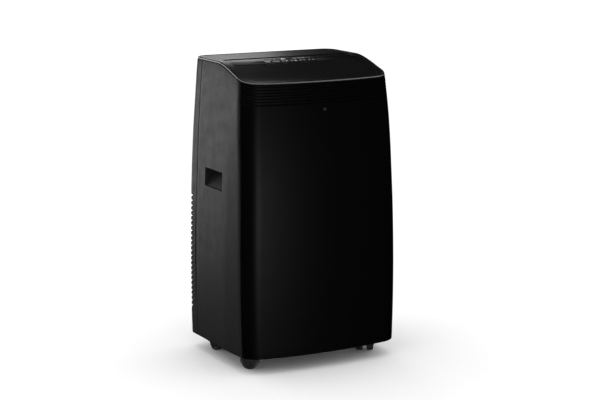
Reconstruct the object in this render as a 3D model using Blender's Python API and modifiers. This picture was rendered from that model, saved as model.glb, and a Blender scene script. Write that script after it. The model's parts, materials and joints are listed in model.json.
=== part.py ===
"""A portable air conditioner: a tall tapered cabinet on four twin-wheel casters.

Metres, +Z up, +X to the right of someone facing the front, -Y the front. The origin is on the floor, in the
middle of the overall box. Every piece is its own object, and each moving piece has its origin on its joint.
"""

import math
from functools import lru_cache
from types import SimpleNamespace

import bmesh
import bpy
from mathutils import Matrix, Vector

# ------------------------------------------------------------------ driving dimensions
HEIGHT = 0.715
WIDTH = 0.422
DEPTH = 0.338
REAR_FITTINGS = 0.003  # how far the caps and the hose collar stand out of the back
WALL = 0.0025
GAP = 0.0004  # between pieces that touch
SEAM = 0.0016  # between the outer panels

# The plan: a bowed front, round corners and a crease where the flat of each side ends.
FRONT_RADIUS = 0.93
CORNER_RADIUS = 0.047
REAR_RADIUS = 0.035
SEAM_TURN = 0.82  # how far round the front corner its seam lies
FLARE = math.radians(3.2)
CREASE_FROM_FRONT = 0.134
CREASE_SWEEP = 0.020
REAR_PANEL_WRAP = 0.061

# The taper towards the top and the slight tuck at the foot.
TAPER_START = 0.08
TAPER_POWER = 2.6
SIDE_TAPER = 0.0222
FRONT_TAPER = 0.032
REAR_TAPER = 0.006
TUCK = 0.004
TUCK_TOP = 0.25

# The top: an S-curve from the high back to the lower front lip.
LIP_DROP = 0.037
CURVE_FRONT = 0.024  # from the front face to the start of the curve
CURVE_LENGTH = 0.178
COVER_EDGE = 0.0040
PANEL_DROP = 0.0056
COVER_INSET = 0.0012
COVER_WALL = 0.0025
RECESS_MARGIN = 0.045  # from the widest of the side to the recess
RECESS_FROM_FRONT = 0.052
RECESS_DEPTH = 0.170
RECESS_RADIUS = 0.026
COVER_SURFACE = 0.001  # the cover between its rim and the recess lies this far down
RECESS_SINK = 0.002
LEDGE = 0.004
STRIP_FROM_FRONT = 0.157  # where the outlet flap meets the control strip

# Grooves round the top of the front panel.
GROOVES = 7
GROOVE_PITCH = 0.0067
GROOVE_WIDTH = 0.003
GROOVE_DEPTH = 0.0012
FIRST_GROOVE = 0.0096

# Foot, casters and base.
SKIRT = 0.038
BASE_UNDERSIDE = 0.050
BASE_FLOOR = 0.003
BASE_RIM = 0.022
CASTER_FROM_SIDE = 0.061
CASTER_FROM_FRONT = 0.0855
WHEEL_RADIUS = 0.020
WHEEL_WIDTH = 0.0155
WHEEL_SPACING = 0.0255
CASTER_TRAIL = 0.011
CASTER_COLLAR = 0.0085
CASTER_SEAT = 0.0012  # how far the seat round each stem is sunk in the base
STEM_RADIUS = 0.004
CASTER_TURNS = {"front_left": 62, "front_right": -28, "rear_left": 10, "rear_right": -14}

# Hand pockets in both sides.
POCKET_FROM_FRONT = 0.1395
POCKET_LENGTH = 0.0935
POCKET_TOP_DROP = 0.254
POCKET_HEIGHT = 0.0445
POCKET_DEPTH = 0.025

# Rear louvres, intake and ports.
LOUVRE_PITCH = 0.0124
LOUVRE_SLOT = 0.0068
LOUVRE_LOW = 0.0995
LOUVRE_POST = 0.004
LOUVRE_RIBS = (-0.055, 0.055)
INTAKE_MARGIN = 0.061  # from the widest of the side to the intake
INTAKE_TOP_DROP = 0.037
INTAKE_HEIGHT = 0.130
INTAKE_SINK = 0.0008  # the intake's face below the back's
INTAKE_WALL = 0.0025
FILTER_WALL = 0.003
INTAKE_ROWS = 9
INTAKE_COLUMNS = 4
PORT_RADIUS = 0.0625
PORT_WALL = 0.004
PORT_DROP = 0.249  # from the top to the hose port's middle
DRAIN_RADIUS = 0.006
DRAIN_CAP_RADIUS = 0.010
LOW_DRAIN = (-0.070, 0.066)
HIGH_DRAIN_X = -0.125
GLAND_X = 0.132
GLAND_RADIUS = 0.009

# Control strip.
STRIP_WALL = 0.0035
KEY_NAMES = ("power", "mode", "fan", "timer", "down", "up")
KEY_PITCH = 0.0236
KEY_LENGTH = 0.014
KEY_CENTRE_X = -0.007
KEY_FROM_FRONT = 0.1715
KEY_SLANT = 0.004
KEY_TRAVEL = 0.0008
KEY_FOOT = 0.006
BOARD_DROP = 0.0165
BOARD_WALL = 0.0016
WINDOW_WIDTH = 0.031
WINDOW_LENGTH = 0.012
WINDOW_X = -0.008
WINDOW_FROM_FRONT = 0.1945

# Outlet flap, duct and guide vanes.
FLAP_WALL = 0.003
FLAP_ROLL = 0.0038
FLAP_CREASE_FROM_FRONT = 0.111
PIN_RADIUS = 0.002
DUCT_MARGIN = 0.016
DUCT_DEPTH = 0.052  # below the front lip
DUCT_WALL = 0.002
VANES = 6
VANE_HEIGHT = 0.030
VANE_WALL = 0.002
VANE_AXIS_RISE = 0.024  # above the duct's floor
VANE_ARM = 0.0105
LINK_WIDTH = 0.004
LINK_DEPTH = 0.003

# Inside.
DECK_DROP = 0.321
DECK_WALL = 0.003
COOL_FAN_RADIUS = 0.060
HOT_FAN_RADIUS = 0.085
FAN_BLADES = 8
COMPRESSOR_RADIUS = 0.054
COMPRESSOR_HEIGHT = 0.200
COMPRESSOR_FEET = 0.0164
ACCUMULATOR_OFFSET = (0.028, -0.078)  # from the compressor's axis
COMPRESSOR_FROM_SIDE = 0.089
COIL_PLATE = 0.003
HOT_COIL_LOW = 0.118
COIL_MARGIN = 0.043  # from the widest of the side to each end of the hot coil
PIPE_RADIUS = 0.004
ACCUMULATOR_TOP = 0.245

FRONT_Y = -(DEPTH + REAR_FITTINGS) / 2
REAR_Y = FRONT_Y + DEPTH
HALF = WIDTH / 2
RECESS_DROP = COVER_SURFACE + RECESS_SINK  # from the rim's curve to the strip and the flap
LIP_HEIGHT = HEIGHT - LIP_DROP
FLOOR_TOP = BASE_UNDERSIDE + BASE_FLOOR
DECK_HEIGHT = HEIGHT - DECK_DROP
LOUVRES = int((DECK_HEIGHT - 0.009 - LOUVRE_LOW) / LOUVRE_PITCH)
LOUVRE_HIGH = LOUVRE_LOW + LOUVRES * LOUVRE_PITCH
POCKET_HIGH = HEIGHT - POCKET_TOP_DROP
POCKET_LOW = POCKET_HIGH - POCKET_HEIGHT
INTAKE_HALF = HALF - INTAKE_MARGIN
INTAKE_HIGH = HEIGHT - INTAKE_TOP_DROP
INTAKE_LOW = INTAKE_HIGH - INTAKE_HEIGHT
PORT_HEIGHT = HEIGHT - PORT_DROP
HIGH_DRAIN = (HIGH_DRAIN_X, PORT_HEIGHT)
GLAND = (GLAND_X, PORT_HEIGHT)
RECESS_HALF = HALF - RECESS_MARGIN
DUCT_HALF = RECESS_HALF - DUCT_MARGIN
DUCT_LOW = LIP_HEIGHT - DUCT_DEPTH
VANE_AXIS_HEIGHT = DUCT_LOW + VANE_AXIS_RISE
CASTER_X = HALF - CASTER_FROM_SIDE
CASTER_FRONT_Y = FRONT_Y + CASTER_FROM_FRONT
CASTER_REAR_Y = REAR_Y - CASTER_FROM_FRONT + REAR_FITTINGS
COMPRESSOR_PLACE = (HALF - COMPRESSOR_FROM_SIDE, 0.020)
HOT_COIL = (REAR_Y - 0.058, REAR_Y - 0.018)  # front and back faces
COOL_COIL = (REAR_Y - 0.085, REAR_Y - 0.030)

MATERIALS = {
    "casing": ((0.022, 0.022, 0.023), 0.42, 0.0),
    "front_gloss": ((0.010, 0.010, 0.011), 0.22, 0.0),
    "top_gloss": ((0.016, 0.016, 0.017), 0.28, 0.0),
    "keys": ((0.020, 0.020, 0.021), 0.35, 0.0),
    "window": ((0.005, 0.005, 0.006), 0.08, 0.0),
    "grey_plastic": ((0.22, 0.22, 0.23), 0.55, 0.0),
    "white_plastic": ((0.70, 0.70, 0.68), 0.50, 0.0),
    "filter": ((0.10, 0.11, 0.12), 0.80, 0.0),
    "rubber": ((0.020, 0.020, 0.020), 0.75, 0.0),
    "wheel": ((0.018, 0.018, 0.019), 0.50, 0.0),
    "foam": ((0.60, 0.60, 0.58), 0.90, 0.0),
    "fins": ((0.62, 0.64, 0.66), 0.35, 1.0),
    "copper": ((0.70, 0.36, 0.22), 0.30, 1.0),
    "steel": ((0.50, 0.51, 0.52), 0.40, 1.0),
    "black_steel": ((0.030, 0.030, 0.032), 0.45, 0.0),
    "circuit": ((0.020, 0.150, 0.060), 0.50, 0.0),
}

for old in list(bpy.data.objects):
    bpy.data.objects.remove(old, do_unlink=True)
PARTS = bpy.data.collections.new("portable_air_conditioner")
CUTTERS = bpy.data.collections.new("cutters")
for group in (PARTS, CUTTERS):
    bpy.context.scene.collection.children.link(group)


# ------------------------------------------------------------------ modelling helpers
@lru_cache(maxsize=None)
def finish(name):
    """The named material: a Principled BSDF with its colour, roughness and metallic value."""
    colour, roughness, metallic = MATERIALS[name]
    material = bpy.data.materials.new(name)
    material.use_nodes = True
    shader = material.node_tree.nodes["Principled BSDF"]
    shader.inputs["Base Color"].default_value = (*colour, 1)
    shader.inputs["Roughness"].default_value = roughness
    shader.inputs["Metallic"].default_value = metallic
    material.diffuse_color = (*colour, 1)
    return material


def place(name, mesh, material, location=(0, 0, 0), rotation=None):
    """Puts a mesh in the scene as the named part."""
    part = bpy.data.objects.new(name, mesh)
    PARTS.objects.link(part)
    if not mesh.materials:
        mesh.materials.append(finish(material))
    part.matrix_world = Matrix.Translation(location) @ (rotation or Matrix.Identity(4))
    return part


def mesh_from(name, build):
    """A mesh made by a function that fills a bmesh, with its faces turned outwards."""
    mesh = bpy.data.meshes.new(name)
    work = bmesh.new()
    build(work)
    bmesh.ops.recalc_face_normals(work, faces=work.faces)
    work.to_mesh(mesh)
    work.free()
    return mesh


def bake(part):
    """Replaces a part's modifiers, or a curve, by the plain mesh that they make, welded."""
    bpy.context.view_layer.update()
    graph = bpy.context.evaluated_depsgraph_get()
    mesh = bpy.data.meshes.new_from_object(part.evaluated_get(graph))
    work = bmesh.new()
    work.from_mesh(mesh)
    bmesh.ops.remove_doubles(work, verts=work.verts, dist=1e-6)
    work.to_mesh(mesh)
    work.free()
    name, matrix = part.name, part.matrix_world.copy()
    bpy.data.objects.remove(part)
    baked = bpy.data.objects.new(name, mesh)
    PARTS.objects.link(baked)
    baked.matrix_world = matrix
    return baked


AXIS_TURN = {
    "X": Matrix(((0, 0, 1, 0), (1, 0, 0, 0), (0, 1, 0, 0), (0, 0, 0, 1))),
    "Y": Matrix(((1, 0, 0, 0), (0, 0, -1, 0), (0, 1, 0, 0), (0, 0, 0, 1))),
    "Z": Matrix.Identity(4),
}


def prism(name, outline, low, high, axis, material):
    """A flat outline extruded along an axis: (y, z) points for X, (x, z) for Y and (x, y) for Z."""
    curve = bpy.data.curves.new(name, "CURVE")
    curve.dimensions = "2D"
    curve.fill_mode = "BOTH"
    curve.extrude = (high - low) / 2
    spline = curve.splines.new("POLY")
    spline.points.add(len(outline) - 1)
    for point, (u, v) in zip(spline.points, outline):
        point.co = (u, v, 0, 1)
    spline.use_cyclic_u = True
    curve.materials.append(finish(material))
    part = bpy.data.objects.new(name, curve)
    PARTS.objects.link(part)
    along = {"X": Vector((1, 0, 0)), "Y": Vector((0, 1, 0)), "Z": Vector((0, 0, 1))}[axis]
    part.matrix_world = Matrix.Translation(along * (low + high) / 2) @ AXIS_TURN[axis]
    return bake(part)


def fill_boxes(work, boxes):
    for low, high in boxes:
        size = [b - a for a, b in zip(low, high)]
        middle = [(a + b) / 2 for a, b in zip(low, high)]
        matrix = Matrix.Translation(middle) @ Matrix.Diagonal((*size, 1))
        bmesh.ops.create_cube(work, size=1, matrix=matrix)


def boxes(name, corners, material):
    """Boxes given by their low and high corners, with the origin at the first's middle."""
    origin = Vector([(a + b) / 2 for a, b in zip(*corners[0])])
    moved = [(Vector(low) - origin, Vector(high) - origin) for low, high in corners]
    return place(name, mesh_from(name, lambda work: fill_boxes(work, moved)), material, origin)


def cylinder(name, radius, low, high, centre, axis, material, sides=24):
    """A cylinder along an axis; centre holds the two other coordinates, in X, Y, Z order."""
    def fill(work):
        bmesh.ops.create_cone(work, cap_ends=True, segments=sides, radius1=radius, radius2=radius,
                              depth=high - low)
    middle = list(centre)
    middle.insert("XYZ".index(axis), (low + high) / 2)
    return place(name, mesh_from(name, fill), material, middle, AXIS_TURN[axis])


def turned(name, profile, location, axis, material, steps=24):
    """A profile of (radius, height) points, from top to bottom, turned round an axis."""
    mesh = bpy.data.meshes.new(name)
    edges = [(i, i + 1) for i in range(len(profile) - 1)]
    if profile[0][0] > 0:
        edges.append((len(profile) - 1, 0))
    mesh.from_pydata([(r, 0, h) for r, h in profile], edges, [])
    part = place(name, mesh, material, location, AXIS_TURN[axis])
    screw = part.modifiers.new("turn", "SCREW")
    screw.steps = screw.render_steps = steps
    screw.use_merge_vertices = True
    screw.merge_threshold = 1e-5
    return part


def boolean(part, other, operation):
    """Adds a Boolean with another object, which is hidden from renders from then on."""
    step = part.modifiers.new(operation.lower(), "BOOLEAN")
    step.operation = operation
    step.object = other
    other.hide_render = True
    other.display_type = "WIRE"
    if other.name in PARTS.objects:
        PARTS.objects.unlink(other)
        CUTTERS.objects.link(other)
    return part


def cut(part, other):
    return boolean(part, other, "DIFFERENCE")


def join(part, other):
    return boolean(part, other, "UNION")


def ladder(work, ring):
    """Fills a thin upright ring with triangles across its thickness, so that a bowed end stays true."""
    low, high = 0, len(ring) - 1
    while high - low > 1:
        if ring[low + 1].co.z <= ring[high - 1].co.z:
            work.faces.new((ring[low], ring[low + 1], ring[high]))
            low += 1
        else:
            work.faces.new((ring[low], ring[high - 1], ring[high]))
            high -= 1


def loft(name, rings, material, closed=False, upright=False):
    """A closed body through rings of points with equal counts. An open loft gets a cap at each end."""
    def fill(work):
        rows = [[work.verts.new(p) for p in ring] for ring in rings]
        pairs = list(zip(rows, rows[1:] + rows[:1])) if closed else list(zip(rows, rows[1:]))
        for a, b in pairs:
            for i in range(len(a)):
                j = (i + 1) % len(a)
                work.faces.new((a[i], a[j], b[j], b[i]))
        if not closed:
            for row in (rows[0], rows[-1]):
                if upright:
                    ladder(work, row)
                else:
                    work.faces.new(row)
    return place(name, mesh_from(name, fill), material)


def skin(name, grid, solid, wall, material):
    """An open surface over a grid of points, with faces only where solid(i, j), thickened inwards."""
    def fill(work):
        rows = [[work.verts.new(p) for p in row] for row in grid]
        for i in range(len(rows) - 1):
            for j in range(len(rows[0]) - 1):
                if solid(i, j):
                    corners = (rows[i][j], rows[i + 1][j], rows[i + 1][j + 1], rows[i][j + 1])
                    work.faces.new(corners)
        loose = [v for v in work.verts if not v.link_faces]
        bmesh.ops.delete(work, geom=loose, context="VERTS")
    part = place(name, mesh_from(name, fill), material)
    first = part.data.polygons[0]
    middle = Vector((0, 0, first.center.z))
    if first.normal.dot(first.center - middle) < 0:
        part.data.flip_normals()
    thick = part.modifiers.new("wall", "SOLIDIFY")
    thick.thickness = wall
    thick.offset = -1
    thick.use_even_offset = True
    return part


def tube(name, points, radius, material):
    """A pipe along a smooth curve through a few points."""
    curve = bpy.data.curves.new(name, "CURVE")
    curve.dimensions = "3D"
    curve.bevel_depth = radius
    curve.bevel_resolution = 1
    curve.use_fill_caps = True
    smooth = smooth_route([Vector(p) for p in points])
    spline = curve.splines.new("POLY")
    spline.points.add(len(smooth) - 1)
    for point, place_at in zip(spline.points, smooth):
        point.co = (*place_at, 1)
    curve.materials.append(finish(material))
    part = bpy.data.objects.new(name, curve)
    PARTS.objects.link(part)
    return bake(part)


def smooth_route(points, steps=3):
    """Points along a curve that passes smoothly through the given ones."""
    padded = [2 * points[0] - points[1], *points, 2 * points[-1] - points[-2]]
    route = []
    for a, b, c, d in zip(padded, padded[1:], padded[2:], padded[3:]):
        for i in range(steps):
            t = i / steps
            route.append(0.5 * (2 * b + (c - a) * t + (2 * a - 5 * b + 4 * c - d) * t * t
                                + (3 * b - 3 * c + d - a) * t ** 3))
    return route + [points[-1]]


def spread(low, high, count):
    """Evenly spaced values from low to high, both included."""
    return [low + (high - low) * i / (count - 1) for i in range(count)]


# ------------------------------------------------------------------ the cabinet's form
def ease(t):
    t = min(max(t, 0), 1)
    return t * t * (3 - 2 * t)


def rim_height(y):
    """The height of the top edge, which follows an S-curve from back to front."""
    return LIP_HEIGHT + LIP_DROP * ease((y - FRONT_Y - CURVE_FRONT) / CURVE_LENGTH)


@lru_cache(maxsize=None)
def section(z):
    """The plan's measures at a height."""
    taper = max(0, (z - TAPER_START) / (HEIGHT - TAPER_START)) ** TAPER_POWER
    tuck = TUCK * max(0, 1 - z / TUCK_TOP) ** 2
    half = WIDTH / 2 - SIDE_TAPER * taper - tuck
    front = FRONT_Y + FRONT_TAPER * taper
    rear = REAR_Y - REAR_TAPER * taper
    flare = FLARE * (1 - ease((z / HEIGHT - 0.60) / 0.25))
    crease = FRONT_Y + CREASE_FROM_FRONT - CREASE_SWEEP * (1 - math.exp(-(z - SKIRT) / 0.13))
    corner_x = half - CORNER_RADIUS
    for _ in range(8):
        reach = math.sqrt((FRONT_RADIUS - CORNER_RADIUS) ** 2 - corner_x ** 2)
        corner_y = front + FRONT_RADIUS - reach
        run = crease - corner_y
        corner_x = half - run * math.tan(flare) - CORNER_RADIUS / math.cos(flare)
    arc = math.asin(corner_x / (FRONT_RADIUS - CORNER_RADIUS))
    return SimpleNamespace(half=half, front=front, rear=rear, flare=flare, crease=crease,
                           corner_x=corner_x, corner_y=corner_y, arc=arc)


def plan_point(station, z, inset=0.0):
    """Where a station of the outline lies at a height, moved inwards by inset."""
    kind, side, value = station
    s = section(round(z, 6))
    if kind == "front":
        radius = FRONT_RADIUS - inset
        angle = value * s.arc
        return radius * math.sin(angle), s.front + FRONT_RADIUS - radius * math.cos(angle)
    if kind == "corner":
        radius = CORNER_RADIUS - inset
        angle = s.arc + value * (math.pi / 2 - s.flare - s.arc)
        return side * (s.corner_x + radius * math.sin(angle)), s.corner_y - radius * math.cos(angle)
    if kind == "rear_corner":
        radius = REAR_RADIUS - inset
        angle = value * math.pi / 2
        centre = s.half - REAR_RADIUS
        return side * (centre + radius * math.cos(angle)), s.rear - REAR_RADIUS + radius * math.sin(angle)
    if kind == "rear":
        return value * (s.half - REAR_RADIUS), s.rear - inset
    if kind == "rear_x":
        return value, s.rear - inset
    if kind == "along":
        start = s.corner_y - CORNER_RADIUS * math.sin(s.flare)
        y = start + value * (s.rear - REAR_RADIUS - start)
    elif kind == "crease":
        y = s.crease
    else:
        y = value
    lean = max(0, s.crease - y) * math.tan(s.flare)
    return side * (s.half - inset - lean), y


def rim_point(station, inset, drop):
    """The point of the outline that lies a given drop below the top edge."""
    z = HEIGHT - drop
    for _ in range(12):
        x, y = plan_point(station, z, inset)
        z = rim_height(y) - drop
    return Vector((x, y, z))


def outline(z, inset, corner_steps=3, front_steps=8):
    """The whole outline at a height as (x, y) points, round from the left rear."""
    path = [("rear_corner", -1, t) for t in spread(1, 0, corner_steps + 1)]
    path += [("crease", -1, 0)]
    path += [("corner", -1, t) for t in spread(1, 0, corner_steps + 1)]
    path += [("front", 0, t) for t in spread(-1, 1, front_steps + 1)[1:-1]]
    path += [("corner", 1, t) for t in spread(0, 1, corner_steps + 1)]
    path += [("crease", 1, 0)]
    path += [("rear_corner", 1, t) for t in spread(0, 1, corner_steps + 1)]
    return [plan_point(station, z, inset) for station in path]


OUTER_LEVELS = (0.02, 0.16, 0.33, 0.48, 0.60, 0.70, 0.79, 0.87, 0.94, 1.0)
INNER_LEVELS = tuple(reversed(OUTER_LEVELS[1:])) + (0.0,)


def wall_ring(station, grooves=0):
    """A section through a side or front wall, from its foot up the outside and down the inside."""
    top = rim_point(station, 0, PANEL_DROP)
    end = top.z if not grooves else rim_height(top.y) - groove_drop(grooves - 1) - GROOVE_WIDTH * 1.5
    ring = [(SKIRT, 0.0012), (SKIRT + 0.003, 0)]
    ring += [(SKIRT + (end - SKIRT) * f, 0) for f in OUTER_LEVELS]
    for k in reversed(range(grooves)):
        middle = rim_height(top.y) - groove_drop(k)
        ring += [(middle - GROOVE_WIDTH / 2, 0), (middle, GROOVE_DEPTH), (middle + GROOVE_WIDTH / 2, 0)]
    if grooves:
        ring.append((top.z, 0))
    ring += [(SKIRT + (top.z - SKIRT) * f, WALL) for f in INNER_LEVELS]
    return [Vector((*plan_point(station, z, inset), z)) for z, inset in ring]


def groove_drop(k):
    return FIRST_GROOVE + k * GROOVE_PITCH


def seam_turn(side):
    """A place round the front corner, half the seam's width to one side of its middle."""
    return SEAM_TURN + side * SEAM / 2 / (CORNER_RADIUS * 1.2)


def front_panel():
    edge = seam_turn(-1)
    stations = [("corner", -1, t) for t in spread(edge, 0, 6)]
    stations += [("front", 0, t) for t in spread(-1, 1, 9)[1:-1]]
    stations += [("corner", 1, t) for t in spread(0, edge, 6)]
    rings = [wall_ring(s, GROOVES) for s in stations]
    return loft("front_panel", rings, "front_gloss", upright=True)


def side_panel(name, side):
    """A side wall with its hand pocket: a wedge that is flush at its foot and deepest at its ceiling."""
    seam = REAR_Y - REAR_PANEL_WRAP - SEAM / 2
    stations = [("corner", side, t) for t in spread(seam_turn(1), 1, 3)]
    stations += [("crease", side, 0)]
    stations += [("side", side, y) for y in spread(pocket_front() - 0.006, seam, 7)]
    part = loft(name, [wall_ring(s) for s in stations], "casing", upright=True)
    low, high = pocket_front(), pocket_front() + POCKET_LENGTH
    join(part, pocket_wedge(name + "_tub", side, low - WALL, high + WALL, WALL))
    cut(part, pocket_wedge(name + "_hollow", side, low, high, 0))
    return part


def pocket_front():
    return FRONT_Y + POCKET_FROM_FRONT


def pocket_wedge(name, side, low, high, wall):
    """The pocket's wedge as a prism along Y, grown by a wall on its inner faces."""
    face = section(round((POCKET_LOW + POCKET_HIGH) / 2, 6)).half
    outside = face + 0.010 if not wall else face - WALL / 2
    flush = face - WALL * 0.2
    deep = face - POCKET_DEPTH - wall
    points = [(side * outside, POCKET_LOW - wall * 1.6), (side * (flush - wall), POCKET_LOW - wall * 1.6),
              (side * deep, POCKET_HIGH - 0.008), (side * deep, POCKET_HIGH + wall),
              (side * outside, POCKET_HIGH + wall)]
    return prism(name, points, low, high, "Y", "casing")


def rear_skin_stations(edge_y, post, extra_x):
    """Stations round the back from one side seam to the other, with a post at each end."""
    left = [("side", -1, edge_y), ("side", -1, edge_y + post)]
    left += [("rear_corner", -1, t) for t in spread(0, 1, 4)]
    middle = [("rear_x", 0, x) for x in extra_x]
    right = [("rear_corner", 1, t) for t in spread(1, 0, 4)]
    right += [("side", 1, edge_y + post), ("side", 1, edge_y)]
    return left + middle + right


def rear_housing():
    """The back moulding, with windows for the louvres, the intake and the hose port."""
    seam = REAR_Y - REAR_PANEL_WRAP + SEAM / 2
    stations = rear_skin_stations(seam, 0.007, (-INTAKE_HALF, INTAKE_HALF))
    levels = [SKIRT, LOUVRE_LOW - LOUVRE_POST - GAP, LOUVRE_HIGH + LOUVRE_POST + GAP]
    levels += spread(INTAKE_LOW, INTAKE_HIGH, 4) + [HEIGHT - PANEL_DROP]
    grid = [[Vector((*plan_point(s, z), z)) for z in levels] for s in stations]
    last = len(stations) - 2

    def solid(i, j):
        in_louvres = j == 1 and 1 <= i <= last - 1
        in_intake = 3 <= j <= 5 and stations[i] == ("rear_x", 0, -INTAKE_HALF)
        return not in_louvres and not in_intake
    part = skin("rear_housing", grid, solid, WALL, "casing")
    port = PORT_RADIUS + PORT_WALL + GAP
    near, far = REAR_Y - 0.02, REAR_Y + 0.01
    cut(part, cylinder("port_hole", port, near, far, (0, PORT_HEIGHT), "Y", "casing", 32))
    for k, ((x, z), radius) in enumerate(
            ((LOW_DRAIN, DRAIN_RADIUS), (HIGH_DRAIN, DRAIN_RADIUS), (GLAND, GLAND_RADIUS))):
        cut(part, cylinder(f"rear_hole_{k}", radius + GAP, near, far, (x, z), "Y", "casing", 16))
    return part


def condenser_grille():
    """The louvred grille of the lower back, inside the rear housing's window."""
    edge = REAR_Y - REAR_PANEL_WRAP + SEAM / 2 + 0.007 + GAP
    ribs = [x + d for x in LOUVRE_RIBS for d in (-LOUVRE_POST / 2, LOUVRE_POST / 2)]
    stations = rear_skin_stations(edge, LOUVRE_POST, ribs)
    levels = [LOUVRE_LOW - LOUVRE_POST]
    for k in range(LOUVRES):
        middle = LOUVRE_LOW + (k + 0.5) * LOUVRE_PITCH
        levels += [middle - LOUVRE_SLOT / 2, middle + LOUVRE_SLOT / 2]
    levels.append(LOUVRE_HIGH + LOUVRE_POST)
    grid = [[Vector((*plan_point(s, z, 0.0003), z)) for z in levels] for s in stations]
    posts = {0, len(stations) - 2}
    posts |= {i for i, s in enumerate(stations) if s[0] == "rear_x" and s[2] in ribs[::2]}
    return skin("condenser_grille", grid, lambda i, j: j % 2 == 0 or i in posts, WALL, "casing")


# ------------------------------------------------------------------ the top
def recess_point(station, inset):
    """Where a station of the outline maps to on the rounded rectangle of the top's recess."""
    kind, side, value = station
    front = FRONT_Y + RECESS_FROM_FRONT + inset
    rear = FRONT_Y + RECESS_FROM_FRONT + RECESS_DEPTH - inset
    half = RECESS_HALF - inset
    radius = RECESS_RADIUS - inset
    back_radius = RECESS_RADIUS * 0.4 - inset
    if kind == "front":
        return value * (half - radius), front
    if kind == "corner":
        angle = value * math.pi / 2
        return side * (half - radius + radius * math.sin(angle)), front + radius - radius * math.cos(angle)
    if kind == "along":
        return side * half, front + radius + value * (rear - back_radius - front - radius)
    if kind == "rear_corner":
        angle = value * math.pi / 2
        centre = half - back_radius
        return side * (centre + back_radius * math.cos(angle)), rear - back_radius * (1 - math.sin(angle))
    return value * (half - back_radius), rear


def top_stations():
    path = [("front", 0, t) for t in spread(-1, 1, 7)[1:-1]]
    path += [("corner", 1, t) for t in spread(0, 1, 5)]
    path += [("along", 1, t) for t in spread(0, 1, 9)[1:-1]]
    path += [("rear_corner", 1, t) for t in spread(0, 1, 4)]
    path += [("rear", 0, 0)]
    path += [("rear_corner", -1, t) for t in spread(1, 0, 4)]
    path += [("along", -1, t) for t in spread(1, 0, 9)[1:-1]]
    path += [("corner", -1, t) for t in spread(1, 0, 5)]
    return path


def cover_ring(station):
    """A section through the top cover, from its outer edge to the ledge in its recess."""
    surface, under = COVER_SURFACE, COVER_SURFACE + COVER_WALL

    def recess(inset, drop):
        x, y = recess_point(station, inset)
        return Vector((x, y, rim_height(y) - drop))

    def between(share, drop):
        outer, inner = rim_point(station, 0.008, surface), recess(-COVER_WALL, surface)
        x, y = outer.xy.lerp(inner.xy, share)
        return Vector((x, y, rim_height(y) - drop))
    ledge = RECESS_SINK + surface + STRIP_WALL + GAP
    skirt = WALL + GAP + 0.0006
    return [
        rim_point(station, COVER_INSET, COVER_EDGE), rim_point(station, COVER_INSET, 0.0014),
        rim_point(station, COVER_INSET + 0.0012, 0.0), rim_point(station, 0.005, 0.0),
        rim_point(station, 0.0065, surface), between(0.35, surface), between(0.7, surface),
        recess(0, surface), recess(0, ledge), recess(LEDGE, ledge), recess(LEDGE, ledge + COVER_WALL),
        recess(-COVER_WALL, ledge + COVER_WALL), recess(-COVER_WALL, under),
        between(0.7, under), between(0.35, under), rim_point(station, skirt + 0.002, under),
        rim_point(station, skirt + 0.002, 0.014), rim_point(station, skirt, 0.014),
        rim_point(station, skirt, COVER_EDGE),
    ]


def flap_axis():
    """(y, z) of the outlet flap's hinge."""
    y = FRONT_Y + STRIP_FROM_FRONT - FLAP_ROLL - GAP
    return y, rim_height(y) - RECESS_DROP - FLAP_ROLL


def top_cover():
    part = loft("top_cover", [cover_ring(s) for s in top_stations()], "top_gloss", closed=True)
    reach = RECESS_HALF + COVER_WALL + 0.0005
    for side, name in ((-1, "left"), (1, "right")):
        ends = sorted((side * (RECESS_HALF - LEDGE - 0.001), side * reach))
        hole = cylinder(f"flap_socket_{name}", PIN_RADIUS + GAP, *ends, flap_axis(), "X", "top_gloss", 12)
        cut(part, hole)
    return part


def recess_plug(name, gap):
    points = [recess_point(s, gap) for s in top_stations()]
    return prism(name, points, LIP_HEIGHT - 0.05, HEIGHT + 0.02, "Z", "top_gloss")


def strip_slab(wall, drop=0.0):
    """The (y, z) outline of a slab that follows the top's curve over the control strip."""
    front = FRONT_Y + STRIP_FROM_FRONT
    rear = FRONT_Y + RECESS_FROM_FRONT + RECESS_DEPTH + 0.002
    top = [(y, rim_height(y) - RECESS_DROP - drop) for y in spread(front, rear, 7)]
    return top + [(y, z - wall) for y, z in reversed(top)]


def key_outline(k, grow):
    """A key's slanted outline in plan."""
    x = KEY_CENTRE_X + (k - (len(KEY_NAMES) - 1) / 2) * KEY_PITCH
    y = FRONT_Y + KEY_FROM_FRONT
    half = KEY_PITCH / 2 - 0.0007 + grow
    deep = KEY_LENGTH / 2 + grow
    return [(x - half - KEY_SLANT / 2, y - deep), (x + half - KEY_SLANT / 2, y - deep),
            (x + half + KEY_SLANT / 2, y + deep), (x - half + KEY_SLANT / 2, y + deep)]


def window_outline(grow):
    x, y = WINDOW_X, FRONT_Y + WINDOW_FROM_FRONT
    u, v = WINDOW_WIDTH / 2 + grow, WINDOW_LENGTH / 2 + grow
    return [(x - u, y - v), (x + u, y - v), (x + u, y + v), (x - u, y + v)]


def control_fascia():
    half = RECESS_HALF
    part = prism("control_fascia", strip_slab(STRIP_WALL), -half, half, "X", "top_gloss")
    boolean(part, recess_plug("strip_plug", GAP), "INTERSECT")
    low, high = LIP_HEIGHT, HEIGHT + 0.01
    for k, name in enumerate(KEY_NAMES):
        cut(part, prism(f"key_hole_{name}", key_outline(k, 0.0001), low, high, "Z", "keys"))
    cut(part, prism("window_hole", window_outline(0), low, high, "Z", "keys"))
    return part


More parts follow.
